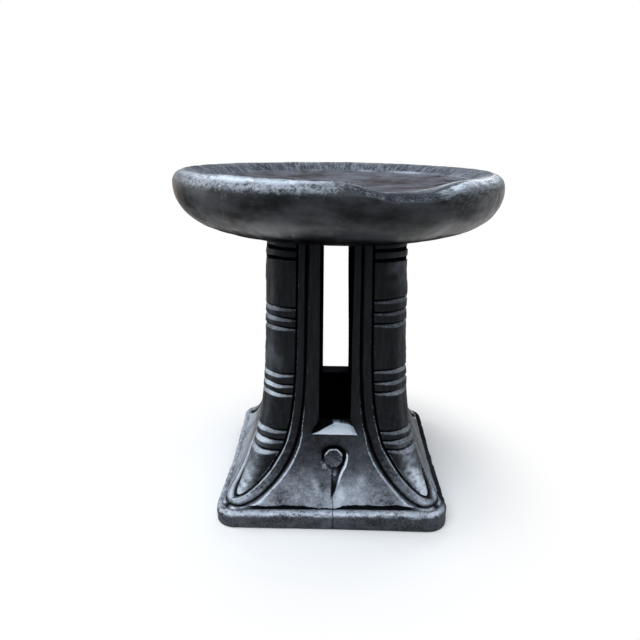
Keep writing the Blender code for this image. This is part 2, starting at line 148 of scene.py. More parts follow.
# Stage: the camera's place, its pan, pitch and roll, and each lamp's place, size, power and colour
CAMERA_PLACE = (-0.002, -0.7568, 0.4860)
CAMERA_TURNS = (0.0260, 0.3153, 0.0078)
CAMERA_LENS = 31.26
LAMP_AIM = (0.0, 0.0, 0.25)
LAMPS = {
    "sky": ((-0.45, -1.10, 1.85), 2.0, 2.0, 46.0, (0.90, 0.95, 1.0)),
    "left": ((-1.5, 0.2, 0.8), 0.7, 1.2, 12.0, (0.92, 0.96, 1.0)),
    "right": ((1.5, 0.1, 0.8), 0.7, 1.2, 2.0, (0.92, 0.96, 1.0)),
    "back": ((0.3, 1.6, 1.3), 1.4, 1.0, 14.0, (0.95, 0.97, 1.0)),
}
FLOOR_REACH, FLOOR_LEVEL = 30.0, -0.0005
WHITE = (1, 1, 1, 1)


def frame_size(node, axis):
    low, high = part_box(node)
    return high[axis] - low[axis]

def length(name, description, default, **more):
    return FloatProperty(name=name, description=description, default=default, unit="LENGTH", **more)


def tone(name, description, default):
    return FloatVectorProperty(
        name=name, description=description, default=default, size=3, subtype="COLOR"
    )


class StoolSizes(bpy.types.PropertyGroup):
    """Sizes of the finished surfaces"""

    seat_height: length("Seat height", "Floor to the highest point of the rim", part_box("seat")[1].z)
    seat_width: length("Seat width", "Widest diameter of the round seat", frame_size("seat", 0))
    seat_depth: length("Seat depth", "Rim to the flat underside, where the legs start", frame_size("seat", 2))
    rim_dip: length("Worn dip", "How much lower the rim is where it is worn at the front", 0.0110)
    plinth_width: length("Plinth width", "Width of the square plinth", frame_size("plinth", 0))
    plinth_height: length("Plinth height", "Thickness of the plinth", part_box("plinth")[1].z)
    column_width: length("Column width", "Width of the column under the seat", 0.178)
    slot_width: length("Slot width", "Width of the tall slots in the front and the sides", 0.045)
    sill_height: length("Sill height", "Floor to the foot of the slots", 0.121)
    groove_depth: length("Ring groove depth", "How deep the rings on the legs are cut", 0.0029)
    hand_wave: length(
        "Hand-cut unevenness", "How far the knife strayed from an even surface", 0.00035, precision=5
    )


class StoolColours(bpy.types.PropertyGroup):
    """Colours of the blackened wood"""

    char: tone("Blackened wood", "The burnt and waxed surface", (0.0050, 0.0054, 0.0064))
    # Grey of scuffing and dust, which also serves as painted top light where surfaces face up
    scuff_and_top_light: tone("Scuffed wood", "Where rubbing has greyed the surface", (0.290, 0.325, 0.390))
    # Colour of worn lips, and of painted highlights and reflections on lips, crests, toes and the ledge
    polish_and_highlight: tone("Polished lips", "Lips and crests worn bright by hands and feet", (0.58, 0.65, 0.74))
    brown: tone("Brown wear", "Brown wood that shows in the dish and on the flanks", (0.052, 0.040, 0.040))


# Shapes


def ease(low, high, value):
    """0 up to low, 1 from high on, and between them t * t * (3 - 2 * t)."""
    t = np.clip((value - low) / (high - low), 0.0, 1.0)
    return t * t * (3.0 - 2.0 * t)


def ripple(points, length, seed):
    """Smooth noise with features of about one length: a sum of sines along random directions."""
    rng = np.random.default_rng(seed)
    count = 22
    ways = rng.normal(size=(count, 3))
    ways /= np.linalg.norm(ways, axis=1, keepdims=True)
    ways *= 2.0 * np.pi / length * rng.uniform(0.6, 1.7, (count, 1))
    starts = rng.uniform(0.0, 2.0 * np.pi, count)
    total = np.zeros(points.shape[:-1])
    for way, start in zip(ways, starts):
        total += np.sin(points @ way + start)
    return total / math.sqrt(count / 2.0)


def power(base, exponent):
    return np.clip(base, 0.0, None) ** exponent


def bell(*shares):
    """exp(-(s ** 2)), with the squares of several shares summed."""
    return np.exp(-sum(share**2 for share in shares))


def turned_degrees(angle):
    """Radians as degrees from -180 to 180."""
    return (np.degrees(angle) + 180.0) % 360.0 - 180.0


class Column:
    """The square column's outer surface, as a place over the surface, a height and a depth.

    A face stands at reach(z) = width / 2 + lean * f + sweep * f ** 5.8 from the axis, where f runs
    from 0 under the seat to 1 on the plinth. Its corners are round.
    """

    lean = 0.008
    sweep = 0.048
    corner = 0.028  # radius of the rounded corners
    hollow = 0.073
    strap_depth = 0.010
    leg_half = 0.0372
    strap_half = 0.0522
    spring = 0.105
    toe_tip = 0.0362
    strap_tip = 0.0282

    def __init__(self, sizes):
        self.width = sizes.column_width
        self.top = sizes.seat_height - sizes.seat_depth
        self.bottom = sizes.plinth_height
        self.wave = sizes.hand_wave

    def reach(self, z):
        fall = (self.top - z) / (self.top - self.bottom)
        return self.width / 2 + self.lean * fall + self.sweep * power(fall, 5.8)

    def half_face(self, z):
        """Middle of a face to the corner line, over the surface."""
        return self.reach(z) - self.corner * (1.0 - math.pi / 4)

    def point(self, along, z, depth=0.0):
        """Points of the front right corner: along is over the surface from the corner line."""
        reach = self.reach(z)
        centre = reach - self.corner
        half = self.corner * math.pi / 4
        away = np.abs(along)
        flat = away >= half
        angle = math.pi / 4 + np.minimum(away, half) / self.corner
        radius = self.corner - depth
        across = np.where(flat, centre + half - away, centre + radius * np.cos(angle))
        out = np.where(flat, reach - depth, centre + radius * np.sin(angle))
        front = along >= 0.0
        x = np.where(front, across, out)
        y = np.where(front, -out, -across)
        return np.stack(np.broadcast_arrays(x, y, z), -1)

    def leg_edge(self, z):
        """Groove between leg and strap beside the straight part, over the surface."""
        return self.leg_half - 0.0014 * ease(0.125, self.top, z)

    def strap_edge(self, z):
        """Groove between strap and web beside the straight part, over the surface."""
        return self.strap_half - 0.0024 * ease(0.125, self.top, z)

    def inner_curve(self, turn, grow=0.0):
        """(along, z) of the groove between leg and strap, turn running from 0 to pi round the toe."""
        across = np.cos(turn)
        along = np.sign(across) * (self.leg_half + grow) * np.abs(across)
        drop = (self.spring - self.toe_tip + grow) * power(np.sin(turn), 1.25)
        return along, self.spring - drop

    def outer_curve(self, turn, grow=0.0):
        """(along, z) of the groove between strap and web."""
        across = np.cos(turn)
        along = np.sign(across) * (self.strap_half + grow) * power(np.abs(across), 0.54)
        drop = (self.spring - self.strap_tip + grow) * power(np.sin(turn), 1.053)
        return along, self.spring - drop

    def straight(self, count):
        """Heights from under the seat down to the toe's spring, without the last."""
        return np.linspace(self.top - GAP, self.spring, count, endpoint=False)


def hand_drift(points):
    """Moves points by the carver's unevenness: each foot strays a little its own way.

    Each stray is a bell round the foot's corner that fades out above it. The right pair of legs
    also stands a little further out than the left, the slots' edges lean a little, the front of the
    ledge lies up to 2 mm to the right, and along the front the plinth's top falls from right to left
    by 1.9 mm in 100.
    """
    moved = points.copy()
    x, y, z = np.moveaxis(points, -1, 0)
    for at_x, at_y, spread, by_x, by_y, fade in FOOT_STRAYS:
        near = np.exp(-((x - at_x) ** 2 + (y - at_y) ** 2) / (2.0 * spread**2)) * ease(fade, 0.020, z)
        moved[..., 0] += by_x * near
        moved[..., 1] += by_y * near
    front = ease(-0.05, -0.12, y) * ease(0.0, 0.018, z) * ease(0.110, 0.045, z)
    moved[..., 2] -= (0.0018 - 0.0190 * x) * front
    by_ledge = ease(-0.062, -0.075, y) * np.exp(-(((z - 0.112) / 0.006) ** 2) - (x / 0.042) ** 4)
    moved[..., 0] += 0.0020 * by_ledge
    shaft = ease(0.02, 0.09, z) * ease(0.372, 0.35, z)
    right = 0.0020 + 0.0014 * ease(0.345, 0.290, z)
    moved[..., 0] += (right * ease(0.05, 0.08, x) - 0.0016 * ease(-0.05, -0.08, x)) * shaft
    for at_x, spread, by_x in EDGE_STRAYS:
        moved[..., 0] += by_x * bell((x - at_x) / spread) * (y < -0.055) * ease(0.100, 0.125, z)
    rear_edge = bell((np.abs(x) - 0.019) / 0.009) * (y > 0.06) * ease(0.10, 0.12, z)
    moved[..., 0] += rear_edge * np.where(x > 0, 0.0036 - 0.0046 * ease(0.12, 0.36, z), 0.0009)
    return moved


def quarter_turned(points, quarter):
    """Points turned about the Z axis by whole quarter turns."""
    c, s = ((1, 0), (0, 1), (-1, 0), (0, -1))[quarter % 4]
    x, y, z = np.moveaxis(points, -1, 0)
    return np.stack([c * x - s * y, s * x + c * y, z], -1)


def signed_volume(points, quads, tris):
    def six(faces):
        a, b, c = (points[faces[:, k]] for k in range(3))
        return np.einsum("ij,ij->i", a, np.cross(b, c)).sum()

    return six(quads[:, :3]) + six(quads[:, [0, 2, 3]]) + (six(tris) if len(tris) else 0.0)


def put_mesh(name, points, quads, tris, traits, material, nodes):
    """Makes the closed mesh, faces outward, with its per-point traits, and lays it on the frame."""
    points = hand_drift(np.asarray(points, dtype=np.float64).reshape(-1, 3))
    if signed_volume(points, quads, tris) < 0:
        quads, tris = quads[:, ::-1], tris[:, ::-1]
    mesh = bpy.data.meshes.new(name)
    mesh.vertices.add(len(points))
    mesh.vertices.foreach_set("co", points.astype(np.float32).ravel())
    corners = np.concatenate([quads.ravel(), tris.ravel()])
    counts = np.concatenate([np.full(len(quads), 4), np.full(len(tris), 3)])
    mesh.loops.add(len(corners))
    mesh.loops.foreach_set("vertex_index", corners.astype(np.int32))
    mesh.polygons.add(len(counts))
    mesh.polygons.foreach_set("loop_start", (np.cumsum(counts) - counts).astype(np.int32))
    mesh.polygons.foreach_set("loop_total", counts.astype(np.int32))
    mesh.update(calc_edges=True)
    for trait, values in traits.items():
        flat = np.ascontiguousarray(values, dtype=np.float32).ravel()
        kind, field = ("FLOAT", "value") if len(flat) == len(points) else ("FLOAT_VECTOR", "vector")
        mesh.attributes.new(trait, kind, "POINT").data.foreach_set(field, flat)
    mesh.shade_smooth()
    mesh.materials.append(material)
    obj = bpy.data.objects.new(name, mesh)
    bpy.context.scene.collection.objects.link(obj)
    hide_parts(*nodes)
    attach(obj, "root")


def tube_faces(rows, count):
    """Quads round a tube of closed rows, and a fan on each end about its own middle point."""
    i, j = np.meshgrid(np.arange(rows - 1), np.arange(count), indexing="ij")
    k = (j + 1) % count
    quads = np.stack([i * count + j, i * count + k, (i + 1) * count + k, (i + 1) * count + j], -1)
    j = np.arange(count)
    k = (j + 1) % count
    last = (rows - 1) * count
    first_fan = np.stack([np.full(count, rows * count), k, j], -1)
    last_fan = np.stack([np.full(count, rows * count + 1), last + j, last + k], -1)
    return quads.reshape(-1, 4), np.concatenate([first_fan, last_fan])


def with_ends(grid):
    """A tube's points, followed by the middle points of its first and last rows."""
    ends = np.stack([grid[0].mean(0), grid[-1].mean(0)])
    return np.concatenate([grid.reshape(-1, grid.shape[-1]), ends])


def put_tube(name, grid, traits, material, node, quarter=0):
    """Closes a tube's ends, turns it by whole quarter turns and lays it on the frame.

    A trait with one value for each point is held within 0 and 1.
    """
    quads, fans = tube_faces(*grid.shape[:2])
    shown = {}
    for trait, values in traits.items():
        shown[trait] = with_ends(values if values.ndim == 3 else np.clip(values, 0, 1)[..., None])
    points = quarter_turned(with_ends(grid), quarter)
    put_mesh(name, points, quads, fans, shown, material, [node])


# Seat


def rim_height(azimuth, sizes):
    """(height of the rim's crest, share of its dip), azimuth running from the front to the right.

    The rim leans down to the right and is worn lower round the front. It has one dip there, from 0
    to 44 degrees, with a flat bottom and with slopes 17 degrees wide.
    """
    degrees = turned_degrees(azimuth)
    worn = 0.0040 * power(np.cos(azimuth - math.radians(25.0)), 2.0)
    level = np.minimum(sizes.seat_height, sizes.seat_height + 0.0002 - 0.0022 * np.sin(azimuth) - worn)
    dip = ease(0.0, 17.0, degrees) * ease(44.0, 27.0, degrees)
    return level - sizes.rim_dip * dip, dip


def seat_section(sizes, azimuth):
    """(zone, radius, height, dip) of the seat's rows, from the dish's middle round to the underside.

    The floor is a shallow parabola, the wall rises as 1 - (1 - u) ** 2, and rim and bowl are
    quarters of superellipses, the bowl's exponent running from 2.22 on the left to 2.46. Zone is 0
    on the floor and runs to 1 up the wall, to 2 over the rim and to 3 round the bowl.
    """
    radius, flat = sizes.seat_width / 2, UNDERSIDE_RADIUS
    crest, dish = radius - CREST_INSET, radius - DISH_INSET
    top, dip = rim_height(azimuth, sizes)
    floor = sizes.seat_height - FLOOR_DROP
    foot = np.minimum(floor, top - 0.0010)
    widest = np.minimum(sizes.seat_height - WIDEST_DROP, top - 0.0085) - 0.0016 * np.sin(azimuth)
    under = sizes.seat_height - sizes.seat_depth
    fullness = 2.0 / (2.34 + 0.12 * np.sin(azimuth))

    rows = []
    for u in np.linspace(0.0, 1.0, 46)[1:]:
        sag = FLOOR_SAG * (1.0 - u**2)
        rows.append((0.0, dish * u, floor + (foot - floor) * ease(0.45, 0.98, u) - sag))
    for u in np.linspace(0.0, 1.0, 30)[1:]:
        rows.append((u, dish + (crest - dish) * u, foot + (top - foot) * (1 - (1 - u) ** 2)))
    for u in np.linspace(0.0, 1.0, 44)[1:]:
        turn = np.pi / 2 * u
        out, up = math.sin(turn) ** (2 / RIM_FULLNESS), power(math.cos(turn), 2 / RIM_FULLNESS)
        rows.append((1.0 + u, crest + (radius - crest) * out, widest + (top - widest) * up))
    for u in np.linspace(0.0, 1.0, 70)[1:]:
        turn = np.pi / 2 * u
        out, down = power(math.cos(turn), fullness), power(math.sin(turn), fullness)
        rows.append((2.0 + u, flat + (radius - flat) * out, widest - (widest - under) * down))
    for u in np.linspace(1.0, 0.0, 9)[1:-1]:
        rows.append((3.0, flat * u, under))
    rows = [[np.broadcast_to(value, azimuth.shape) for value in (*row, dip)] for row in rows]
    return np.ascontiguousarray(np.moveaxis(np.array(rows), 1, 0))


def seat_traits(points, zone, degrees, dip):
    """Where the seat is rubbed and painted with highlights, waxed, matt, painted with shade and with a warm
    reflection, and hatched, by zone and degrees from the front.

    Left and right are the two bright stretches of the rim, beside the dip, worn and painted with highlights.
    """
    aside = np.abs(degrees)
    left = ease(6.0, -16.0, degrees) * ease(-128.0, -95.0, degrees)
    left = left * (0.25 + 0.75 * ease(-64.0, -40.0, degrees))
    right = ease(27.0, 37.0, degrees) * (ease(76.0, 56.0, degrees) + 0.4 * ease(105.0, 80.0, degrees)) / 1.4
    # Wear and painted highlight: bright bands on the worn rim, strongest on the left stretch, and a thin
    # painted highlight on the crest to the right
    band = bell((zone - 1.22 - 0.12 * left) / 0.18)
    streaky = 0.9 + 0.25 * ripple(points * [1.0, 1.0, 3.0], 0.03, 10)
    wear_and_highlight = band * (0.24 * (1.0 - dip) + 0.56 * left) + 0.30 * left * bell((zone - 1.13) / 0.12)
    wear_and_highlight = wear_and_highlight * streaky + 0.33 * bell((zone - 1.64 - 0.06 * left) / 0.21) * (0.4 + 0.6 * left)
    wear_and_highlight = wear_and_highlight + 0.45 * bell((zone - 1.03) / 0.05) * ease(38.0, 50.0, degrees) * ease(95.0, 75.0, degrees)
    # Painted highlights: a broad sheen under the crest on the right, streaked sheen on the left band and a
    # light band along the foot of the back wall
    shone = ease(1.06, 1.20, zone) * ease(1.62, 1.40, zone)
    shone = shone + 0.4 * ease(1.0, 1.25, zone) * ease(1.84, 1.66, zone)
    stroke = np.clip(0.80 + 0.75 * ripple(points * [1.0, 1.0, 3.5], 0.014, 12), 0.0, 1.6)
    mottled = np.clip(0.55 + 0.75 * ripple(points * [1.0, 1.0, 2.2], 0.010, 13), 0.0, 1.8)
    below = bell((zone - 1.72) / 0.17) * ease(2.04, 1.88, zone)
    soft = left * (0.70 * band * stroke + 0.19 * below * mottled)
    soft = soft + 0.07 * right * bell((zone - 1.88) / 0.20) * mottled
    soft = soft + 0.60 * right * shone * (0.45 + 0.55 * stroke)
    back = ease(-140.0, -175.0, degrees) + ease(110.0, 150.0, degrees)
    back = back + 1.1 * ease(112.0, 128.0, degrees) * ease(168.0, 152.0, degrees)
    foot_line = bell((zone - 0.10) / 0.055) * (0.6 + 0.4 * ripple(points, 0.05, 11))
    soft = soft + (0.05 + 0.22 * back) * foot_line

    wax = 0.10 + 0.90 * bell((zone - 2.38) / 0.14) * (0.75 + 0.25 * ripple(points, 0.10, 9))
    wax = wax * ease(1.6, 1.9, zone) * ease(2.60, 2.46, zone)
    wax = wax * (0.32 + 0.68 * ease(-60.0, -20.0, degrees) * ease(150.0, 100.0, degrees))
    dished = 1.0 - ease(0.02, 0.16, zone) * (1.0 - 0.75 * dip * (1.0 - ease(0.7, 1.05, zone)))
    on_rim = ease(0.6, 0.9, zone) * ease(1.9, 1.5, zone)
    by_wall = (0.72 - 0.25 * ease(140.0, 160.0, aside)) * ease(40.0, 80.0, aside)
    by_wall = by_wall * ease(0.0, 0.2, zone) * (zone < 1.0)
    by_bowl = 0.35 * ease(-35.0, -55.0, degrees) * ease(-150.0, -120.0, degrees) * ease(1.95, 2.15, zone)
    crest_line = ease(0.70, 0.85, zone) * ease(1.20, 1.08, zone)
    by_crest = 0.85 * crest_line * ease(60.0, 42.0, np.abs(degrees + 8.0))
    under_dip = 0.40 * dip * ease(0.15, 0.5, zone) * (zone < 1.02)
    rubbed = np.maximum(ease(1.3, 0.95, zone), 0.7 * left * ease(1.95, 1.6, zone))
    return {
        # Painted shade: on the rim in the dip, on the dish under the dip and under the bowl
        "painted_shade": np.maximum.reduce([0.45 * dip * on_rim, 0.75 * ease(2.42, 2.60, zone), under_dip]),
        # Painted reflection: warm colour on the bowl's left and right edges
        "painted_warm_reflection": bell((aside - 74.0) / 9.0) * ease(1.80, 2.04, zone) * ease(2.60, 2.30, zone),
        "wear_and_highlight": wear_and_highlight,
        "soft": soft,
        "wax": wax,
        "dished": dished,
        "matt": np.maximum.reduce([dished, by_wall, 0.80 * dip * on_rim, by_bowl, by_crest]),
        "hatched": ease(0.05, 0.15, zone) * rubbed,
    }


def seat_surface(sizes, around=480):
    """The dished seat, as a section carried round the axis, with its traits."""
    azimuth = np.linspace(0.0, 2.0 * np.pi, around, endpoint=False)
    zone, r, z, dip = seat_section(sizes, azimuth)
    spin = np.broadcast_to(azimuth, r.shape)
    degrees = turned_degrees(spin)
    points = np.stack([r * np.sin(spin), -r * np.cos(spin), z], -1)

    # Facets left by the knife, notches on the worn lip, flutes in the wall and cracks in the bowl
    body = ease(0.0, 0.3, zone) * (1.0 - ease(2.8, 3.0, zone))
    facets = 0.9 + 0.5 * ripple(points, 0.05, 3) + 0.2 * ripple(points, 0.018, 4)
    hammered = np.abs(ripple(points * [1.0, 1.0, 1.6], 0.009, 5)) * bell((zone - 1.42) / 0.36)
    sink = sizes.hand_wave * facets * body + 0.00040 * hammered
    notch = power(np.sin(spin * 260.0 + 2.0 * ripple(points, 0.03, 6)), 3.0)
    sink = sink + 0.0004 * notch * bell((zone - 1.1) / 0.14) * (0.25 + dip)
    flute = np.sin(spin * 130.0 + 1.5 * ripple(points, 0.04, 8))
    sink = sink + 0.00022 * (1.0 + flute) * ease(0.05, 0.3, zone) * (1.0 - ease(0.6, 0.95, zone))
    for place, wander in ((-35.5, 0.5), (-14.0, 0.35)):
        line = degrees - place - wander * np.sin(z * 240.0)
        crack = 0.0007 * bell(line / 0.16) * ease(1.55, 1.8, zone) * (1.0 - ease(2.45, 2.7, zone))
        sink = sink + crack
    on_floor = (zone == 0.0) * ease(0.0, 0.2, r / (sizes.seat_width / 2 - DISH_INSET))
    floor_wave = 0.00022 * (1.0 + ripple(points * [1.0, 3.0, 1.0], 0.03, 7)) * on_floor
    dz, dr = np.gradient(z, axis=0), np.gradient(r, axis=0)
    slope_length = np.hypot(dz, dr) + 1e-9
    sink = np.clip(sink, 0.0, None)
    points[..., 0] += sink * dz / slope_length * np.sin(spin)
    points[..., 1] -= sink * dz / slope_length * np.cos(spin)
    points[..., 2] -= sink * dr / slope_length + floor_wave
    streak = np.stack([np.cos(spin), np.sin(spin), np.cumsum(np.hypot(dr, dz), axis=0)], -1)
    return points, {**seat_traits(points, zone, degrees, dip), "streak": streak}


# Legs and straps


def ring_cut(z, along, heights, depth, rubbed, seed):
    """(depth, lips worn and painted with highlights, painted shade) of ring grooves, each an upper wall and a
    lower slope.

    The two meet low by the straps and high between them. With t the height over a groove in mm and c
    the cosine of along, from 1 on the corner line to 0 by the straps, a groove runs from t = 2.6 down
    to -1.8 - 2.9 * c and is deepest at -1.0 + 1.6 * c. Those under the seat are plain troughs, 5.4 mm
    wide.
    """
    cut = np.zeros(np.broadcast(z, along).shape)
    lit = np.zeros_like(cut)
    shade = np.zeros_like(cut)
    beside = np.cos(np.clip(np.abs(along) / 0.0375, 0.0, 1.0) * np.pi / 2)
    deepest, lower = -1.0 + 1.6 * beside, -1.8 - 2.9 * beside
    for k, height in enumerate(heights):
        drift = 0.0014 * beside - 0.0006 + 0.0004 * np.sin(along * 55.0 + seed + k * 1.7)
        drift = drift + 0.0002 * np.sin(along * 170.0 + k + seed)
        t = (z - height - drift) * 1000.0
        strength = 1.0 + 0.12 * np.sin(k * 2.3 + seed)
        if k < PLAIN_GROOVES:
            trough = power(1.0 - (t / 2.7) ** 2, 0.6)
            cut = np.maximum(cut, strength * trough)
            shade = np.maximum(shade, 1.4 * trough)
            continue
        wall = np.clip((2.6 - t) / (2.6 - deepest), 0.0, 1.0) ** 0.5
        slope = np.clip((t - lower) / (deepest - lower), 0.0, 1.0) ** 0.9
        cut = np.maximum(cut, strength * np.minimum(wall, slope))
        # Painted highlight on each groove's lower slope, widest by the corner line
        shine = ease(lower - 0.5, lower + 0.7, t) * ease(deepest + 0.1, deepest - 0.7, t)
        shade = np.maximum(shade, 1.6 * wall * ease(deepest - 0.7, deepest + 0.1, t))
        uneven = 0.75 + 0.25 * np.sin(along * 90.0 + 2.1 * k + seed)
        uneven = uneven * (0.85 + 0.15 * np.sin(2.9 * t + 1.5 * np.sin(along * 160.0 + k)))
        # Painted shade: lips under the seat are dimmed as if the seat shaded them
        seat_shade_factor = 0.34 + 0.66 * ease(0.250, 0.200, height)
        lit = np.maximum(lit, shine * (0.08 + 0.92 * beside ** (2.8 - 1.6 * rubbed)) * seat_shade_factor * uneven)
    return depth * cut, lit * rubbed, np.clip(shade, 0.0, 1.0)


def leg_surface(column, heights, depth, worn, seed):
    """A leg: closed rows at the column's corner, down over the rings to the rounded toe.

    With rho 0 on the corner line and 1 in the groove round the leg, the surface drops by
    (3 mm to 7 mm) * ((rho - 0.35) / 0.65) ** 2.3 towards the groove. The shaft's corner is
    rounded off by 4 mm * cos(along) ** 2, and the toe swells by 1.6 mm instead.
    """
    rubbed, patch_height, toe_bright, toe_offset = worn
    straight = column.straight(360)
    toe_half, toe = column.inner_curve(np.linspace(0.0, np.radians(87.0), 96), -GAP)
    z = np.concatenate([straight, toe])[:, None]
    half = np.concatenate([column.leg_edge(straight) - GAP, toe_half])[:, None]
    share = np.sin(np.linspace(-1.0, 1.0, 61) * np.pi / 2 * 0.95) / math.sin(np.pi / 2 * 0.95)
    along = half * share[None, :]
    drop = power((column.spring - z) / (column.spring - column.toe_tip), 1.6)
    rho = np.sqrt(np.clip(drop + (along / column.leg_half) ** 2, 0, 1))
    toe_share = ease(0.112, 0.070, z)
    roll = (0.0030 + 0.0040 * toe_share) * power((rho - 0.35) / 0.65, 2.3)
    rounded = 0.0040 * np.cos(np.clip(along / 0.036, -1, 1) * np.pi / 2) ** 2 * (1.0 - toe_share)
    swell = 0.0016 * toe_share * (1.0 - power(rho, 2.0)) * ease(0.030, 0.045, z)
    gap = half - np.abs(along)
    nearest = np.minimum(gap, (z - column.toe_tip) * 0.9 + gap * 0.4)
    edge = 0.0034 * power(1.0 - nearest / 0.0014, 1.4)
    cut, lit, shade = ring_cut(z, along, heights, depth, rubbed, seed)
    cut = cut * (1.0 - 0.35 * power((rho - 0.85) / 0.15, 2.0))
    place = column.point(along, z)
    wave = column.wave * (0.8 + 0.7 * ripple(place, 0.045, seed) + 0.35 * ripple(place, 0.013, seed + 1))
    outer = column.point(along, z, np.clip(roll + rounded + edge + cut + wave, 0.0, MOST_SUNK) - swell)
    side, z_side = half[:, 0], z[:, 0]
    inwards = np.maximum(column.corner, column.corner + side - column.corner * math.pi / 4)
    back = column.reach(z_side) - inwards
    inner = np.stack([back, -back, z_side], -1)[:, None]
    left, right = (column.point(sign * side, z_side, column.strap_depth)[:, None] for sign in (-1, 1))
    grid = np.concatenate([left, outer, right, inner], axis=1)

    # Painted highlights: the toe's bright crest and a bright line round the toe's groove
    off = along - toe_offset * ease(0.038, 0.070, z)
    crest = toe_bright * bell(off / 0.0105) * toe_share * (0.14 + 0.52 * ease(0.080, 0.046, z))
    # Painted highlight: a soft patch of sheen on the shaft and a faint line along the corner line
    patch = bell((z - patch_height) / 0.020, (np.abs(along) - 0.007) / 0.012)
    hands = 0.055 * patch * (0.9 + 0.3 * ripple(place, 0.018, seed + 3)) + 0.03 * bell(along / 0.006)
    soft = crest * (0.9 + 0.25 * ripple(place, 0.012, seed + 2)) + hands * (1.0 - toe_share)
    edge_line = 0.40 * bell((nearest - 0.0021) / 0.0006) * (0.10 + 0.90 * toe_share)
    pad = ((0, 0), (1, 2))
    # Painted shade in the ring grooves and in the groove round the leg
    return grid, {
        "wear_and_highlight": np.pad(0.35 * lit + edge_line, pad),
        "soft": np.pad(np.maximum(soft * (1.0 - shade), lit), pad),
        "painted_shade": np.pad(shade + power(1.0 - nearest / 0.0013, 0.8), pad, constant_values=1.0),
    }


def strap_surface(column, light, seed):
    """A strap: a rounded section carried down one side of the leg, round its toe and up again.

    Across the strap, with s from 0 at the leg to 1 at the web, it is sunk by
    1.4 mm * |2 * s - 1| ** 2.6. It falls to the bottom of its grooves within 1.7 mm by the leg and
    within 2.5 mm, or 3.9 mm low down, by the web.
    """
    lit_side, painted_light_share, inner_edge = light
    straight = column.straight(230)
    turns = np.linspace(0.0, np.pi, 321)

    def run(edge, curve):
        """(along, z) down beside the leg, round its toe and up again."""
        along, z = curve
        along = np.concatenate([edge, along, -edge[::-1]])[:, None]
        return along, np.concatenate([straight, z, straight[::-1]])[:, None]

    ia, iz = run(column.leg_edge(straight) + GAP, column.inner_curve(turns, GAP))
    oa, oz = run(column.strap_edge(straight) - GAP, column.outer_curve(turns, -GAP))
    share = 0.5 - 0.5 * np.cos(np.linspace(0.0, np.pi, 35))[None, :]
    width = np.hypot(oa - ia, oz - iz)
    by_leg, by_web = share * width, (1.0 - share) * width
    narrow = np.clip(width / 0.013, 0.5, 1.0)
    foot = ease(0.17, 0.07, iz)
    outer_fall = (0.0025 + 0.0014 * foot) * narrow
    fall = 0.0044 * (power(1.0 - by_leg / (0.0017 * narrow), 1.3) + power(1.0 - by_web / outer_fall, 1.3))
    crown = 0.0014 * np.abs(2.0 * share - 1.0) ** 2.6
    along, z = ia + (oa - ia) * share, iz + (oz - iz) * share
    place = column.point(along, z)
    wave = column.wave * (0.7 + 0.6 * ripple(place, 0.035, seed) + 0.35 * ripple(place, 0.011, seed + 1))
    outer = column.point(along, z, np.clip(crown + fall + wave, 0.0, MOST_SUNK))
    by_leg_wall, by_web_wall = (column.point(a, h, column.strap_depth) for a, h in ((ia, iz), (oa, oz)))
    grid = np.concatenate([by_leg_wall, outer, by_web_wall], axis=1)

    # Painted highlight on the strap's inner edge, dim under the seat; on the lit side the inner wall is
    # painted pale
    line = inner_edge * bell((by_leg - 0.0019) / 0.0006) * (0.09 + 0.91 * foot)
    pale = painted_light_share * (np.sign(ia) == lit_side) * ease(0.105, 0.070, iz)
    # Painted highlight on the top of the strap's toe
    toe_top = 0.43 * ease(0.052, 0.036, iz) * bell((share - 0.34) / 0.22)
    soft = np.maximum(toe_top, 0.62 * pale * ease(0.0070, 0.0035, by_leg))
    # Painted shade in the grooves, wider low down by the web
    shaded = 0.0027 + 0.0018 * foot + 0.0036 * ease(0.075, 0.048, iz)
    painted_shade = power(1.0 - by_leg / 0.0017, 0.7) * (1.0 - pale) + power(1.0 - by_web / shaded, 0.8)
    painted_shade = painted_shade + pale * ease(0.0011, 0.0003, by_leg)

    def with_walls(by_inner, values, by_outer):
        """Rows of a trait, with its values on the strap's two side walls."""
        first, last = (np.broadcast_to(value, pale.shape) for value in (by_inner, by_outer))
        return np.concatenate([first, values, last], axis=1)

    return grid, {
        "wear_and_highlight": with_walls(0.0, line, 0.0),
        "soft": with_walls(0.2 * pale, soft, 0.0),
        "painted_shade": with_walls(1.0 - 0.3 * pale, painted_shade, 1.0),
    }


# Webs


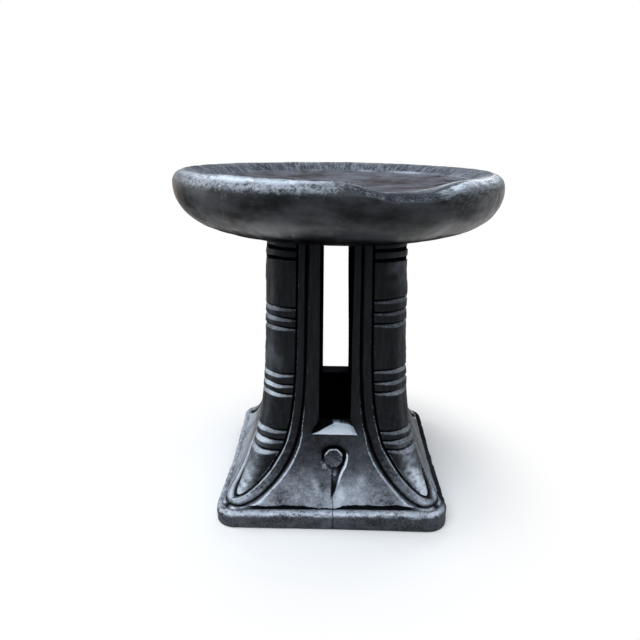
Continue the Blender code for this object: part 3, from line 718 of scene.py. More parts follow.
def keyhole_cut(x, z):
    """(depth, painted light on its right slope, painted shade, chips) of the keyhole: a round recess with a
    tapering tail.

    With up the height over the recess's middle in mm, the tail lies between -2.5 mm and
    24 mm * exp(up / 24) - 2.2 mm, but never past 13.4 mm, and is 3.2 mm narrower at its tip. Its
    walls are steep on the left and slope on the right.
    """
    up = (z - KEYHOLE_HEIGHT) * 1000.0
    across = x * 1000.0 - 1.0
    slant = up * 1.12
    round_edge = 16.2 + 1.6 * ease(-2.0, 14.0, slant) - np.hypot(across, slant)
    right = np.minimum(24.0 * np.exp(up / 24.0) - 2.2, 13.4) - 3.2 * ease(-35.0, -47.0, up) - across
    left = across + 2.5 - 0.02 * (up + 20.0)
    tail = np.minimum.reduce([left, right, (up + 44.0) * 0.24, (-3.0 - up) * 0.8])
    inside = np.maximum(round_edge, tail) + power(3.0 - np.abs(round_edge - tail), 2.0) / 12.0
    to_right = ease(-3.0, 6.0, across + 0.40 * up + 7.0) * ease(11.0, 2.0, up)
    wall = ease(-0.4, 0.9, inside) * (1.0 - to_right) + ease(-2.2, 0.6, inside) * to_right
    floor = 0.0058 - 0.0034 * ease(-14.0, -44.0, up)
    lit = to_right * ease(-2.9, -1.7, inside) * ease(0.2, -0.7, inside)
    lit = lit * (0.35 + 0.65 * ease(-40.0, -20.0, up))
    shade = 0.65 * ease(-7.0, 0.0, inside) * ease(2.0, 12.0, slant) + ease(-0.6, 0.5, inside)
    aside, below = across + 10.5, up + 10.0
    chips = bell((0.80 * aside - 0.60 * below) / 8.5, (0.60 * aside + 0.80 * below) / 3.6)
    chips = np.maximum(chips, 0.75 * bell((across - 1.5) / 3.5, (up + 21.0) / 6.0))
    return floor * wall, np.clip(lit, 0, 1), np.clip(shade, 0, 1), chips


def web_surface(column, sizes, face):
    """A pierced web: an outer and an inner skin with one wall round the edge they share.

    Rows run level at the middle of the face and tilt towards the strap's edge. Columns run from
    strap edge to strap edge, and the slot takes the middle ones above the sill.
    """
    front, rear = face == "front", face == "rear"
    seed = 40 + FACES.index(face)
    half_slot = REAR_HALF_SLOT if rear else sizes.slot_width / 2
    sill = sizes.sill_height + (REAR_SILL_RAISE if rear else 0.0)
    ledge, flare = (LEDGE_DROP, LEDGE_RADIUS - half_slot) if front else (0.0, 0.0)
    middle, side = (100, 34) if front else (44, 26)
    toe_rows, apron_rows, jamb_rows = (64, 60, 120) if front else (46, 26, 100)
    top = column.top - GAP

    # The outer edge, from the corner of the foot up the strap's groove to the seat
    foot = column.bottom + GAP
    strip = np.array([foot, foot + 0.0006, foot + 0.0012])
    turns = np.linspace(np.pi / 2, 0.0, toe_rows)
    along, edge_z = column.outer_curve(turns)
    inner_along, inner_z = column.inner_curve(turns)
    rise = np.linspace(column.spring, sill, apron_rows + 1)[1:]
    jamb = sill + (top - sill) * np.linspace(0.0, 1.0, jamb_rows + 1)[1:] ** 1.2
    upper = np.concatenate([rise, jamb])
    edge_z = np.concatenate([strip, edge_z, upper])
    edge_along = np.concatenate([0.0 * strip, along, column.strap_edge(upper)])
    leg_z = np.concatenate([strip + 0.004, inner_z, upper])
    leg_along = np.concatenate([0.0 * strip, inner_along, column.leg_edge(upper)])
    rows = len(edge_z)
    sill_row = rows - jamb_rows - 1
    low = sill - ledge
    climb = (jamb - sill) / (top - sill)
    centre_z = np.concatenate([np.linspace(foot, low, sill_row + 1), low + (top - low) * climb])
    slot_x = half_slot + flare * np.clip(1.0 - (centre_z - low) / FLARE_HEIGHT, 0.0, 1.0)
    back_z = np.concatenate([np.linspace(foot, sill, sill_row + 1), sill + (top - sill) * climb])

    inner_cols = np.linspace(-1.0, 1.0, middle + 1)
    outer_cols = np.linspace(0.0, 1.0, side + 1)[1:]

    def across(edge, slot):
        """Rows of x: the slot's columns keep their spacing and the outer ones stretch."""
        right = slot[:, None] + (edge - slot)[:, None] * outer_cols
        return np.concatenate([-right[:, ::-1], slot[:, None] * inner_cols, right], axis=1)

    def levels_of(mid, edge):
        """Rows of z, level over the slot's columns and running out to the strap's edge."""
        right = mid[:, None] + (edge - mid)[:, None] * outer_cols
        return np.concatenate([right[:, ::-1], np.repeat(mid[:, None], middle + 1, axis=1), right], axis=1)

    z = levels_of(centre_z, edge_z)
    x = across(column.half_face(edge_z) - edge_along, slot_x)

    def on_face(depth):
        p = column.point(np.maximum(column.half_face(z) - np.abs(x), 0.0), z, depth)
        p[..., 0] *= np.where(x < 0, -1.0, 1.0)
        return p

    place = on_face(0.0)
    near = (np.abs(x[:, -1:]) - np.abs(x)) * np.clip((edge_z[:, None] - foot) / 0.02, 0.35, 1.0)
    lip = 0.0046 * power(1.0 - near / 0.0026, 1.3)
    lip[: len(strip)] = 0.0
    foot_part = ease(0.10, 0.055, z)
    line = bell((near - 0.0030 - 0.0004 * foot_part) / (0.0006 + 0.0006 * foot_part))
    # Painted highlight on the line by the edge, dimmed under the seat
    lit = 0.7 * line * (0.06 + 0.94 * ease(0.18, 0.07, z))
    uneven = 0.6 * ripple(place, 0.030, seed + 5) + 0.4 * ripple(place, 0.006, seed + 6)
    thick = 0.0034 + 0.0006 * uneven + 0.0006 * bell((np.abs(x) - 0.050) / 0.03)
    if front:
        thick = thick - 0.0006 + 0.0014 * ease(-0.028, -0.050, x) + 0.0020 * ease(0.004, 0.020, x)
        thick = thick - 0.0008 * bell((x - 0.001) / 0.005)
    crevice = ease(0.0, 0.0011, foot + thick - z) * (1.0 - ease(0.098, 0.124, np.abs(x)))
    cut = lip + 0.0044 * crevice
    by_slot = np.where(z > low, np.abs(np.abs(x) - slot_x[:, None]), 1.0)
    cut += 0.0009 * power(1.0 - by_slot / 0.0030, 2.0)
    # Painted shade by the edges and in the crevice
    painted_shade = np.clip(power(1.0 - near / 0.0029, 0.7) + crevice, 0, 1)
    # Painted highlight along the line near the foot, dimmer on the right of the front
    soft = 0.66 * line * foot_part * (1.0 - 0.54 * ease(0.0, 0.03, x) * front)
    if front:
        hole, worn, shade, chips = keyhole_cut(x, z)
        rough = power(ripple(place, 0.0026, seed + 7), 1.0)
        crack = bell((x - 0.0004 - 0.0006 * np.sin(z * 260.0)) / 0.00045) * ease(0.047, 0.040, z)
        cut += hole * (1.0 - 0.85 * chips) + 0.0007 * crack + 0.0007 * rough * chips
        strokes = 0.0
        for strength, at_x, at_z, slant, wide, high in APRON_STROKES:
            strokes += strength * bell((x - at_x + slant * (z - at_z)) / wide, (z - at_z) / high)
        soft = np.maximum(soft, 0.26 * strokes)
        # Painted light: the front's lines dimmer to the right and the keyhole's right slope painted bright;
        # painted shade in the keyhole and its crack
        lit *= 1.0 - 0.35 * ease(0.0, 0.03, x)
        lit += 0.9 * worn + 0.7 * chips * ease(0.1, 0.9, rough)
        painted_shade = np.clip(painted_shade + shade * (1.0 - worn) * (1.0 - 0.97 * chips) + 0.8 * crack, 0, 1)
    wave = column.wave * (0.8 + 0.7 * ripple(place, 0.05, seed) + 0.35 * ripple(place, 0.014, seed + 1))
    outer = on_face(cut + np.clip(wave, 0.0, None))
    outer[: len(strip), 0, 0] += GAP
    outer[: len(strip), -1, 0] -= GAP

    # The inner skin lies flat on the hollow, behind the leg's side as well
    reach_in = np.minimum(column.half_face(leg_z) - leg_along, column.hollow - GAP)
    inner_slot = np.where(np.arange(rows) >= sill_row, half_slot, slot_x)
    inner_x = across(np.maximum(reach_in, half_slot + 0.004), inner_slot)
    inner_z = levels_of(back_z, np.clip(leg_z, foot, top))
    inner = np.stack(np.broadcast_arrays(inner_x, -column.hollow, inner_z), -1)
    inner[0, :, 2] = foot

    # The edge that both skins share, walked once round from corner to corner
    cols = x.shape[1]
    r_last, c_last, slot_end = rows - 1, cols - 1, side + middle
    corners = [(0, 0), (0, c_last), (r_last, c_last), (r_last, slot_end), (sill_row, slot_end)]
    corners += [(sill_row, side), (r_last, side), (r_last, 0), (0, 0)]
    walk = []
    for start, end in zip(corners, corners[1:]):
        count = abs(end[0] - start[0]) + abs(end[1] - start[1])
        walk.append(np.linspace(start, end, count, endpoint=False).round().astype(int))
    wr, wc = np.concatenate(walk).T
    edge_out, edge_in = outer[wr, wc], inner[wr, wc]
    steps = np.linspace(0.0, 1.0, 14)[1:-1]
    if front:
        steps = np.concatenate([np.linspace(0.0, 0.56, 15)[1:], np.linspace(0.56, 1.0, 21)[1:-1]])
    wall = edge_out + (edge_in - edge_out) * steps[:, None, None]

    # Beside the straps the wall drops square to the surface, and then runs in under the strap
    beside = ((wc == 0) | (wc == c_last)) & (wr >= len(strip))
    mirror = np.where(wc == 0, -1.0, 1.0)[beside, None] * [1.0, 0.0, 0.0] + [0.0, 1.0, 1.0]
    b, deep = wr[beside], column.strap_depth + 2 * GAP
    under = column.point(edge_along[b], edge_z[b], deep) * mirror
    by_leg = column.point(leg_along[b], leg_z[b], deep) * mirror
    stops = np.stack([edge_out[beside], under, by_leg, edge_in[beside]])
    marks = np.array([0.0, 0.30, 0.62, 1.0])
    k = np.clip(np.searchsorted(marks, steps, side="right") - 1, 0, 2)
    f = ((steps - marks[k]) / (marks[k + 1] - marks[k]))[:, None, None]
    wall[:, beside] = stops[k] * (1.0 - f) + stops[k + 1] * f
    # Painted light on the floor of the half-round ledge
    ledge_painted_light = np.zeros(wall.shape[:2])
    if front:
        on_sill = (wr == sill_row) & (wc >= side) & (wc <= slot_end)
        by_jamb = (wr > sill_row) & ((wc == side) | (wc == slot_end))
        share = (wc - side) / middle * 2.0 - 1.0
        cut_ledge(wall, ledge_painted_light, steps, on_sill, by_jamb, share, column, low, sill, half_slot)

    # Points and faces
    solid = np.ones((rows - 1, cols - 1), bool)
    solid[sill_row:, side:slot_end] = False
    n_skin, loop = rows * cols, len(wr)
    i, j = np.nonzero(solid)
    a = i * cols + j
    quad = np.stack([a, a + 1, a + cols + 1, a + cols], -1)
    rim = wr * cols + wc
    between = 2 * n_skin + np.arange(len(steps) * loop).reshape(-1, loop)
    ids = np.concatenate([rim[None], between, n_skin + rim[None]])
    nxt = np.roll(ids, -1, axis=1)
    ring = np.stack([ids[:-1], ids[1:], nxt[1:], nxt[:-1]], -1).reshape(-1, 4)
    quads = np.concatenate([quad, quad[:, ::-1] + n_skin, ring])
    used, back_index = np.unique(quads, return_inverse=True)
    points = np.concatenate([part.reshape(-1, 3) for part in (outer, inner, wall)])
    # Painted light on the ledge; painted shade on the other walls round the edge
    parts = {
        "wear_and_highlight": (np.clip(lit, 0, 1), 0.0, ledge_painted_light),
        "soft": (soft, 0.0, 0.86 * ledge_painted_light),
        "painted_shade": (painted_shade, 1.0, np.where(ledge_painted_light > 0, 0.0, 0.91)),
    }
    traits = {}
    for trait, (shown, hidden, walled) in parts.items():
        traits[trait] = np.concatenate([shown.ravel(), np.full(n_skin, hidden), walled.ravel()])[used]
    return points[used], back_index.reshape(quads.shape), traits


def cut_ledge(wall, worn, steps, on_sill, by_jamb, share, column, low, sill, half_slot):
    """Cuts the half-round ledge into the front sill, its floor rising a little towards the arc.

    The arc is |x| ** n + depth ** n = LEDGE_RADIUS ** n, with n = LEDGE_FULLNESS.
    """
    n_full = LEDGE_FULLNESS
    front_y, top = -column.reach(low), column.top - GAP
    climb = (wall[0, by_jamb, 2] - low) / (top - low)
    side_of = np.sign(wall[0, by_jamb, 0])
    for n, step in enumerate(steps):
        depth = (-column.hollow - front_y) * step
        wide = max(power(LEDGE_RADIUS**n_full - depth**n_full, 1.0 / n_full), half_slot)
        x = share[on_sill] * wide
        inside = LEDGE_RADIUS - (np.abs(x) ** n_full + depth**n_full) ** (1.0 / n_full)
        floor = low + 0.0006 * depth / LEDGE_RADIUS
        z = floor + (sill - floor) * ease(0.0001, -0.0006, inside)
        wall[n, on_sill] = np.stack([x, np.full_like(x, front_y + depth), z], -1)
        # Painted light on the ledge's floor, with its left end left dark
        turned = x + LEDGE_RADIUS - 0.95 * depth  # the left end falls away from the light
        streak = 0.92 + 0.08 * np.sin(x * 1100.0 + 40.0 * np.sin(x * 60.0) + depth * 150.0)
        worn[n, on_sill] = ease(-0.0001, 0.0006, inside) * ease(-0.0005, 0.0015, turned) * streak
        end = floor if depth**n_full < LEDGE_RADIUS**n_full - half_slot**n_full else sill
        z_jamb = end + (top - end) * climb
        narrowed = np.clip(1.0 - (z_jamb - low) / FLARE_HEIGHT, 0.0, 1.0)
        radius = half_slot + (LEDGE_RADIUS - half_slot) * narrowed
        x_jamb = np.maximum(power(radius**n_full - depth**n_full, 1.0 / n_full), half_slot)
        wall[n, by_jamb, 0] = side_of * x_jamb
        wall[n, by_jamb, 2] = z_jamb


# Plinth and boss


def rounded_square(half, corner, count):
    """Points evenly spread round a square with round corners, and their outward directions."""
    flat = 2.0 * (half - corner)
    arc = corner * math.pi / 2
    s = np.linspace(0.0, 4.0 * (flat + arc), count, endpoint=False)
    side = np.floor(s / (flat + arc)).astype(int)
    t = s - side * (flat + arc)
    on_arc = t > flat
    angle = np.where(on_arc, (t - flat) / corner, 0.0)
    x = np.where(on_arc, half - corner + corner * np.sin(angle), t - flat / 2)
    y = np.where(on_arc, -(half - corner) - corner * np.cos(angle), -half)
    nx, ny = np.sin(angle), -np.cos(angle)
    c, sn = np.cos(side * math.pi / 2), np.sin(side * math.pi / 2)
    return np.stack([c * x - sn * y, sn * x + c * y], -1), np.stack([c * nx - sn * ny, sn * nx + c * ny], -1)


def plinth_surface(sizes, around=1200):
    """The plinth: rows of one rounded square, drawn in over a soft shoulder.

    The shoulder is a quarter superellipse, 7.5 mm in and 8 mm down, with exponent 2.2.
    """
    half, height = sizes.plinth_width / 2, sizes.plinth_height
    ring, out = rounded_square(half, PLINTH_CORNER, around)
    profile = [(-0.004, 0.0)]
    for turn in np.linspace(0.0, np.pi / 2, 8):
        profile.append((-EDGE_IN * (1.0 - math.sin(turn)), EDGE_UP * (1.0 - math.cos(turn))))
    profile += [(0.0, z) for z in np.linspace(EDGE_UP, height - SHOULDER_DOWN, 14)[1:]]
    for turn in np.linspace(0.0, np.pi / 2, 22)[1:]:
        inset = SHOULDER_IN * (1.0 - power(math.cos(turn), 2 / SHOULDER_FULLNESS))
        rise = SHOULDER_DOWN * math.sin(turn) ** (2 / SHOULDER_FULLNESS)
        profile.append((-inset, height - SHOULDER_DOWN + rise))
    profile += [(-SHOULDER_IN - step, height) for step in (0.0015, 0.0035, 0.006, 0.010)]
    offset, z = np.array(profile).T[..., None]
    points = ring[None] + out[None] * offset[..., None]
    points = np.concatenate([points, np.broadcast_to(z[..., None], points.shape[:2] + (1,))], -1)

    x, y = points[..., 0].copy(), points[..., 1].copy()
    outside = offset > 0.0001 - SHOULDER_IN
    wave = sizes.hand_wave * (1.2 + 1.0 * ripple(points, 0.06, 71) + 0.6 * ripple(points, 0.017, 72))
    shoulder = bell((z - height + 0.0030) / 0.0038) * outside
    chips = power(ripple(points, 0.009, 73) - 1.2, 1.0) * shoulder * 0.0008
    crack = bell((x - 0.0010 - 0.0005 * np.sin(z * 700.0)) / 0.0006) * (y < 0)
    beside = ease(-0.148, -0.115, y)
    right, left = ease(0.120, 0.138, x) * beside, ease(-0.120, -0.138, x) * beside
    corner = bell((x - 0.136) / 0.012, (y + 0.142) / 0.010)
    sink = np.clip(wave + chips + 0.0008 * crack, 0.0, None) * (ease(0.0, 0.003, z) * outside)
    points[..., :2] -= sink[..., None] * out[None]
    points[..., 2] -= 0.6 * np.clip(wave + chips, 0.0, None) * shoulder * (z > height - 0.006)
    # Wear and painted highlight on the shoulder's edge, dimmer on the left and left out on the shaded right,
    # with a painted glint at the front right corner; painted shade on the right side, in the crack, at the
    # foot and on the top inside the shoulder
    edge = bell((z - height + 0.0014) / 0.0024) * outside
    wear_and_highlight = (0.55 * (1.0 - 0.95 * right - 0.45 * left) + 0.40 * corner) * edge
    wear_and_highlight = wear_and_highlight * (0.85 + 0.25 * ripple(points, 0.020, 74) + 0.15 * ripple(points, 0.005, 75))
    painted_shade = 0.9 * crack + ease(-0.0090, -0.0110, offset) + 0.6 * ease(0.003, 0.0, z) + 0.92 * right
    return points, {"wear_and_highlight": wear_and_highlight, "painted_shade": painted_shade}


def boss_surface(column):
    """The keyhole's disc: a cylinder with eight uneven flats, a bevelled lip and a hollowed face."""
    angle = np.linspace(0.0, 2.0 * np.pi, 128, endpoint=False)
    flats = math.cos(np.pi / 8) / np.cos((angle + 0.35 + 0.15 * np.sin(angle)) % (np.pi / 4) - np.pi / 8)
    radius = BOSS_RADIUS * (0.42 + 0.58 * flats) * (1.0 + 0.012 * np.sin(3 * angle + 1.0))
    profile = [(0.25, -0.0046), (0.97, -0.0046), (1.0, -0.0042), (1.0, -0.0016), (0.99, -0.0008)]
    profile += [(0.93, 0.0004), (0.90, 0.00065), (0.86, 0.0006), (0.75, 0.00035), (0.5, 0.0001), (0.25, 0.0)]
    share, height = np.array(profile).T[..., None]
    face = height > -0.001
    x = share * radius * np.sin(angle)
    up = -share * radius * np.cos(angle)
    place = np.stack(np.broadcast_arrays(x, up, height), -1)
    height = height - 0.00014 * (1 + ripple(place, 0.006, 81)) * face
    slope = math.atan2(column.reach(BOSS_HEIGHT - 0.005) - column.reach(BOSS_HEIGHT + 0.005), 0.010)
    y = -column.reach(BOSS_HEIGHT) - height * math.cos(slope) + up * math.sin(slope)
    z = BOSS_HEIGHT + up * math.cos(slope) + height * math.sin(slope)
    grid = np.stack(np.broadcast_arrays(x + 0.0006, y, z), -1)
    # Wear and painted highlight on the lip, brighter on its upper half; painted shade on the sides sunk in
    # the recess
    lip = 0.85 * bell((share - 0.935) / 0.075) * face
    wear_and_highlight = lip * (0.12 + 0.88 * ease(0.002, 0.007, up))
    return grid, {"wear_and_highlight": wear_and_highlight, "painted_shade": (height < -0.001).astype(float)}


# Finishes


def add_node(tree, kind, inputs=None, **settings):
    """A node with its settings, and its sockets set to values or linked from other sockets."""
    made = tree.nodes.new(kind)
    for name, value in settings.items():
        setattr(made, name, value)
    for name, value in (inputs or {}).items():
        socket = made.inputs[name]
        if isinstance(value, bpy.types.NodeSocket):
            tree.links.new(value, socket)
        else:
            socket.default_value = value
    return made


def math_node(tree, operation, *values, clamp=False):
    inputs = dict(enumerate(values))
    return add_node(tree, "ShaderNodeMath", inputs, operation=operation, use_clamp=clamp).outputs[0]


def trait_node(tree, name, output="Fac"):
    """A trait of the mesh, carried by its points."""
    return add_node(tree, "ShaderNodeAttribute", attribute_name=name).outputs[output]


def noise(tree, coords, scale, detail=3.0, rough=0.55, stretch=(1, 1, 1), turn=(0, 0, 0)):
    moved = add_node(tree, "ShaderNodeMapping", {"Vector": coords, "Scale": stretch, "Rotation": turn})
    inputs = {"Vector": moved.outputs[0], "Scale": scale, "Detail": detail, "Roughness": rough}
    return add_node(tree, "ShaderNodeTexNoise", inputs).outputs["Fac"]


def ramp(tree, value, low, high, start=0.0, end=1.0):
    inputs = {"Value": value, "From Min": low, "From Max": high, "To Min": start, "To Max": end}
    return add_node(tree, "ShaderNodeMapRange", inputs, interpolation_type="SMOOTHSTEP").outputs[0]


def mix(tree, share, first, second):
    """The first colour, giving way to the second by share."""
    first, second = ((*c, 1.0) if isinstance(c, tuple) else c for c in (first, second))
    inputs = {0: share, 6: first, 7: second}
    return add_node(tree, "ShaderNodeMix", inputs, data_type="RGBA").outputs[2]


def times(tree, *values):
    """Product of sockets and numbers."""
    total = values[0]
    for value in values[1:]:
        total = math_node(tree, "MULTIPLY", total, value)
    return total


def cube_of_rest(tree, value):
    """(1 - value) ** 3, with 1 - value held within 0 and 1."""
    return math_node(tree, "POWER", math_node(tree, "SUBTRACT", 1.0, value, clamp=True), 3.0)


def scaled(colour, factor):
    return tuple(factor * c for c in colour)


def blackened_wood(
    name, colours, scuffed_and_top_lit, low=0.0, even=0.0, brown=0.0, rough=0.42, grit=1.0, bright=1.0, dished=False
):
    """Burnt and waxed wood: black in its grooves and recesses, where shade is painted, greyed where it faces
    up by scuffing and painted top light, and bright on lips from wear and painted highlights.

    Its arguments scuffed_and_top_lit, low and even say how grey it is where it faces up, near the floor and
    below the slots.
    """
    material = bpy.data.materials.new(name)
    material.use_nodes = True
    tree = material.node_tree
    shader = tree.nodes["Principled BSDF"]
    coords = add_node(tree, "ShaderNodeTexCoord").outputs["Object"]
    wear_and_highlight, painted_shade, soft = (trait_node(tree, trait) for trait in ("wear_and_highlight", "painted_shade", "soft"))
    normal = add_node(tree, "ShaderNodeNewGeometry").outputs["Normal"]
    facing = add_node(tree, "ShaderNodeSeparateXYZ", {"Vector": normal}).outputs["Z"]
    height = add_node(tree, "ShaderNodeSeparateXYZ", {"Vector": coords}).outputs["Z"]

    broad = noise(tree, coords, 22.0, 4.0, 0.6)
    patch = noise(tree, coords, 95.0, 3.0, 0.65)
    fleck = noise(tree, coords, 380.0, 2.0, 0.6)
    grain = noise(tree, coords, 26.0, 3.0, 0.6, (2.0, 2.0, 7.0) if dished else (10.0, 10.0, 0.8))
    scratch = noise(tree, coords, 45.0, 1.0, 0.5, (1.0, 9.0, 22.0), (0.6, 0.3, 0.7))

    # Grey where it faces up, from scuffing and painted top light, and greyer towards the floor and below the
    # slots
    up = ramp(tree, facing, 0.08, 0.80)
    lower = ramp(tree, height, 0.083, 0.044)
    scuff_and_top_light = math_node(tree, "MULTIPLY_ADD", lower, low, times(tree, ramp(tree, height, 0.130, 0.105), even))
    scuff_and_top_light = math_node(tree, "MULTIPLY_ADD", up, scuffed_and_top_lit, scuff_and_top_light)
    varied = math_node(tree, "MULTIPLY_ADD", broad, 4.0 - 2.4 * grit, -1.25 - 0.85 * grit)
    varied = math_node(tree, "MULTIPLY_ADD", patch, 2.2 * grit, varied)
    varied = math_node(tree, "MULTIPLY_ADD", fleck, 1.9 * grit, varied)
    scuff_and_top_light = times(tree, math_node(tree, "POWER", scuff_and_top_light, 1.6), math_node(tree, "MAXIMUM", varied, 0.03))
    lines = times(tree, ramp(tree, scratch, 0.62, 0.72, 0.0, 0.38), up, math_node(tree, "ADD", lower, 0.2))
    specks = times(tree, ramp(tree, fleck, 0.66, 0.76, 0.0, 0.36), up)
    marks = math_node(tree, "ADD", times(tree, lines, patch), specks)
    scuff_and_top_light = math_node(tree, "ADD", scuff_and_top_light, marks, clamp=True)
    # Lips: wear and painted highlights from the wear_and_highlight trait, broken up at random
    ragged = [ramp(tree, source, 0.34, 0.62, most, 0.0) for source, most in ((patch, 0.26), (fleck, 0.18))]
    lip = math_node(tree, "SUBTRACT", times(tree, wear_and_highlight, 1.3), math_node(tree, "ADD", *ragged))
    lip = math_node(tree, "MINIMUM", lip, wear_and_highlight, clamp=True)
    # Painted sheen: the soft trait brightens towards the polish colour
    sheen = times(tree, soft, ramp(tree, patch, 0.25, 0.75, 0.70, 1.25))
    sheen = times(tree, sheen, ramp(tree, fleck, 0.25, 0.75, 0.85, 1.12))
    lip = math_node(tree, "MAXIMUM", lip, sheen, clamp=True)

    char, scuffed_and_top_lit_wood, brown_wood = tuple(colours.char), tuple(colours.scuff_and_top_light), tuple(colours.brown)
    # bright scales the colour of worn lips and painted highlights
    polish_and_highlight = scaled(colours.polish_and_highlight, bright)
    if dished:
        cloud = ramp(tree, noise(tree, coords, 15.0, 4.0, 0.6, (1.0, 1.0, 2.4)), 0.36, 0.66)
        base = mix(tree, cloud, scaled(char, 0.5), scaled(char, 5.0))
        # Painted reflection: warm colour mixed in on the bowl's side edges
        painted_warm_reflection = times(tree, trait_node(tree, "painted_warm_reflection"), ramp(tree, patch, 0.3, 0.7, 0.25, 0.65))
        base = mix(tree, painted_warm_reflection, base, PAINTED_WARM_REFLECTION)
    else:
        base = mix(tree, ramp(tree, grain, 0.3, 0.7), char, scaled(char, 2.2))
    if brown:
        share = times(tree, ramp(tree, broad, 0.3, 0.7, 0.3, 1.0), ramp(tree, grain, 0.3, 0.7, 0.4, 1.0))
        base = mix(tree, times(tree, share, brown), base, brown_wood)
    colour = mix(tree, scuff_and_top_light, base, scuffed_and_top_lit_wood)
    colour = mix(tree, lip, colour, polish_and_highlight)
    relief = math_node(tree, "ADD", times(tree, fleck, 0.5), times(tree, grain, 0.8))
    if dished:
        hatch = noise(tree, trait_node(tree, "streak", "Vector"), 40.0, 3.0, 0.6, (1.0, 1.0, 1.2))
        rings = noise(tree, coords, 30.0, 4.0, 0.65, (0.6, 8.0, 1.0))
        # Painted glints: short bright dashes in the dish
        glint = ramp(tree, noise(tree, coords, 90.0, 2.0, 0.5, (0.4, 3.4, 1.0)), 0.69, 0.77, 0.0, 0.40)
        worn = mix(tree, ramp(tree, rings, 0.34, 0.66), scaled(brown_wood, 0.25), scaled(brown_wood, 1.9))
        worn = mix(tree, ramp(tree, broad, 0.32, 0.68, 0.08, 0.42), worn, scuffed_and_top_lit_wood)
        worn = mix(tree, glint, worn, polish_and_highlight)
        worn = mix(tree, times(tree, lip, 0.8), worn, polish_and_highlight)
        colour = mix(tree, trait_node(tree, "dished"), colour, worn)
        wall = trait_node(tree, "hatched")
        relief = math_node(tree, "ADD", relief, times(tree, hatch, wall, 1.4))
        thin = times(tree, ramp(tree, hatch, 0.47, 0.64), wall, up, 0.45)
        colour = mix(tree, thin, colour, scuffed_and_top_lit_wood)
    # Painted shade: where the painted_shade trait is high the colour goes to near black and the reflection is
    # taken away
    colour = mix(tree, times(tree, painted_shade, 0.98), colour, PAINTED_SHADE_BLACK)

    shine = math_node(tree, "ADD", 0.06, times(tree, math_node(tree, "MAXIMUM", scuff_and_top_light, lip), 0.5))
    if dished:
        waxed = times(tree, trait_node(tree, "wax"), math_node(tree, "MULTIPLY_ADD", cloud, 0.7, 0.4))
        glossy = cube_of_rest(tree, trait_node(tree, "matt"))
        shine = times(tree, math_node(tree, "ADD", shine, waxed), glossy)
    bump = add_node(tree, "ShaderNodeBump", {"Height": relief, "Strength": 0.5, "Distance": 0.0006})
    for socket, source in {
        "Base Color": colour,
        "Specular IOR Level": times(tree, shine, cube_of_rest(tree, painted_shade)),
        "Roughness": ramp(tree, patch, 0.3, 0.7, rough - 0.06, rough + 0.12),
        "Normal": bump.outputs[0],
    }.items():
        tree.links.new(source, shader.inputs[socket])
    return material


# Operators


class CarveSeat(bpy.types.Operator):
    """Carve the round seat with its rim, its worn dip and its dish"""

    bl_idname = "stool.carve_seat"
    bl_label = "Seat"

    def execute(self, context):
        grid, traits = seat_surface(context.scene.stool_sizes)
        finish = blackened_wood("seat_finish", context.scene.stool_colours, 0.44, rough=0.38, dished=True)
        put_tube("carved_seat", grid, traits, finish, "seat")
        return {"FINISHED"}


class CarveLegs(bpy.types.Operator):
    """Carve the four ringed legs with their toes"""

    bl_idname = "stool.carve_legs"
    bl_label = "Legs"

    def execute(self, context):
        sizes, colours = context.scene.stool_sizes, context.scene.stool_colours
        column = Column(sizes)
        finish = blackened_wood("leg_finish", colours, 0.42, low=0.14, rough=0.40)
        for quarter, corner in enumerate(CORNERS):
            rings, worn = RING_HEIGHTS[corner], LEG_WEAR_AND_HIGHLIGHTS[corner]
            grid, traits = leg_surface(column, rings, sizes.groove_depth, worn, 11 + quarter)
            put_tube(f"carved_leg_{corner}", grid, traits, finish, f"leg_{corner}", quarter)
        return {"FINISHED"}


class CarveStraps(bpy.types.Operator):
    """Carve the four raised straps that run round the legs and their toes"""

    bl_idname = "stool.carve_straps"
    bl_label = "Straps"

    def execute(self, context):
        column = Column(context.scene.stool_sizes)
        finish = blackened_wood("strap_finish", context.scene.stool_colours, 0.46, low=0.20, rough=0.42)
        for quarter, corner in enumerate(CORNERS):
            grid, traits = strap_surface(column, STRAP_LIGHT[corner], 21 + quarter)
            put_tube(f"carved_strap_{corner}", grid, traits, finish, f"strap_{corner}", quarter)
        return {"FINISHED"}


class CarveWebs(bpy.types.Operator):
    """Carve the four pierced webs, with the ledge and the keyhole in the front one"""

    bl_idname = "stool.carve_webs"
    bl_label = "Webs"

    def execute(self, context):
        sizes, colours = context.scene.stool_sizes, context.scene.stool_colours
        column = Column(sizes)
        # The front web's worn lips and painted highlights, the ledge among them, are 1.38 times brighter
        front = blackened_wood(
            "front_web_finish", colours, 0.34, low=0.35, even=0.17, rough=0.46, grit=0.5, bright=1.38
        )
        flank = blackened_wood(
            "flank_finish", colours, 0.48, low=0.38, even=0.10, brown=0.6, rough=0.52, grit=0.6
        )
        # Painted shade: a darker copy of the flank finish for the right flank
        shaded = blackened_wood(
            "right_flank_painted_shade_finish", colours, 0.30, low=0.23, even=0.06, brown=0.5, rough=0.52, grit=0.6
        )
        finishes = (front, shaded, flank, flank)
        no_tris = np.zeros((0, 3), int)
        for quarter, (face, finish) in enumerate(zip(FACES, finishes)):
            points, quads, traits = web_surface(column, sizes, face)
            points, node = quarter_turned(points, quarter), f"web_{face}"
            put_mesh(f"carved_{node}", points, quads, no_tris, traits, finish, [node])
        return {"FINISHED"}


class CarveBoss(bpy.types.Operator):
    """Carve the disc that stands in the keyhole"""

    bl_idname = "stool.carve_boss"
    bl_label = "Keyhole disc"

    def execute(self, context):
        grid, traits = boss_surface(Column(context.scene.stool_sizes))
        finish = blackened_wood("boss_finish", context.scene.stool_colours, 0.42, even=0.16, rough=0.46)
        put_tube("carved_boss", grid, traits, finish, "keyhole_boss")
        return {"FINISHED"}


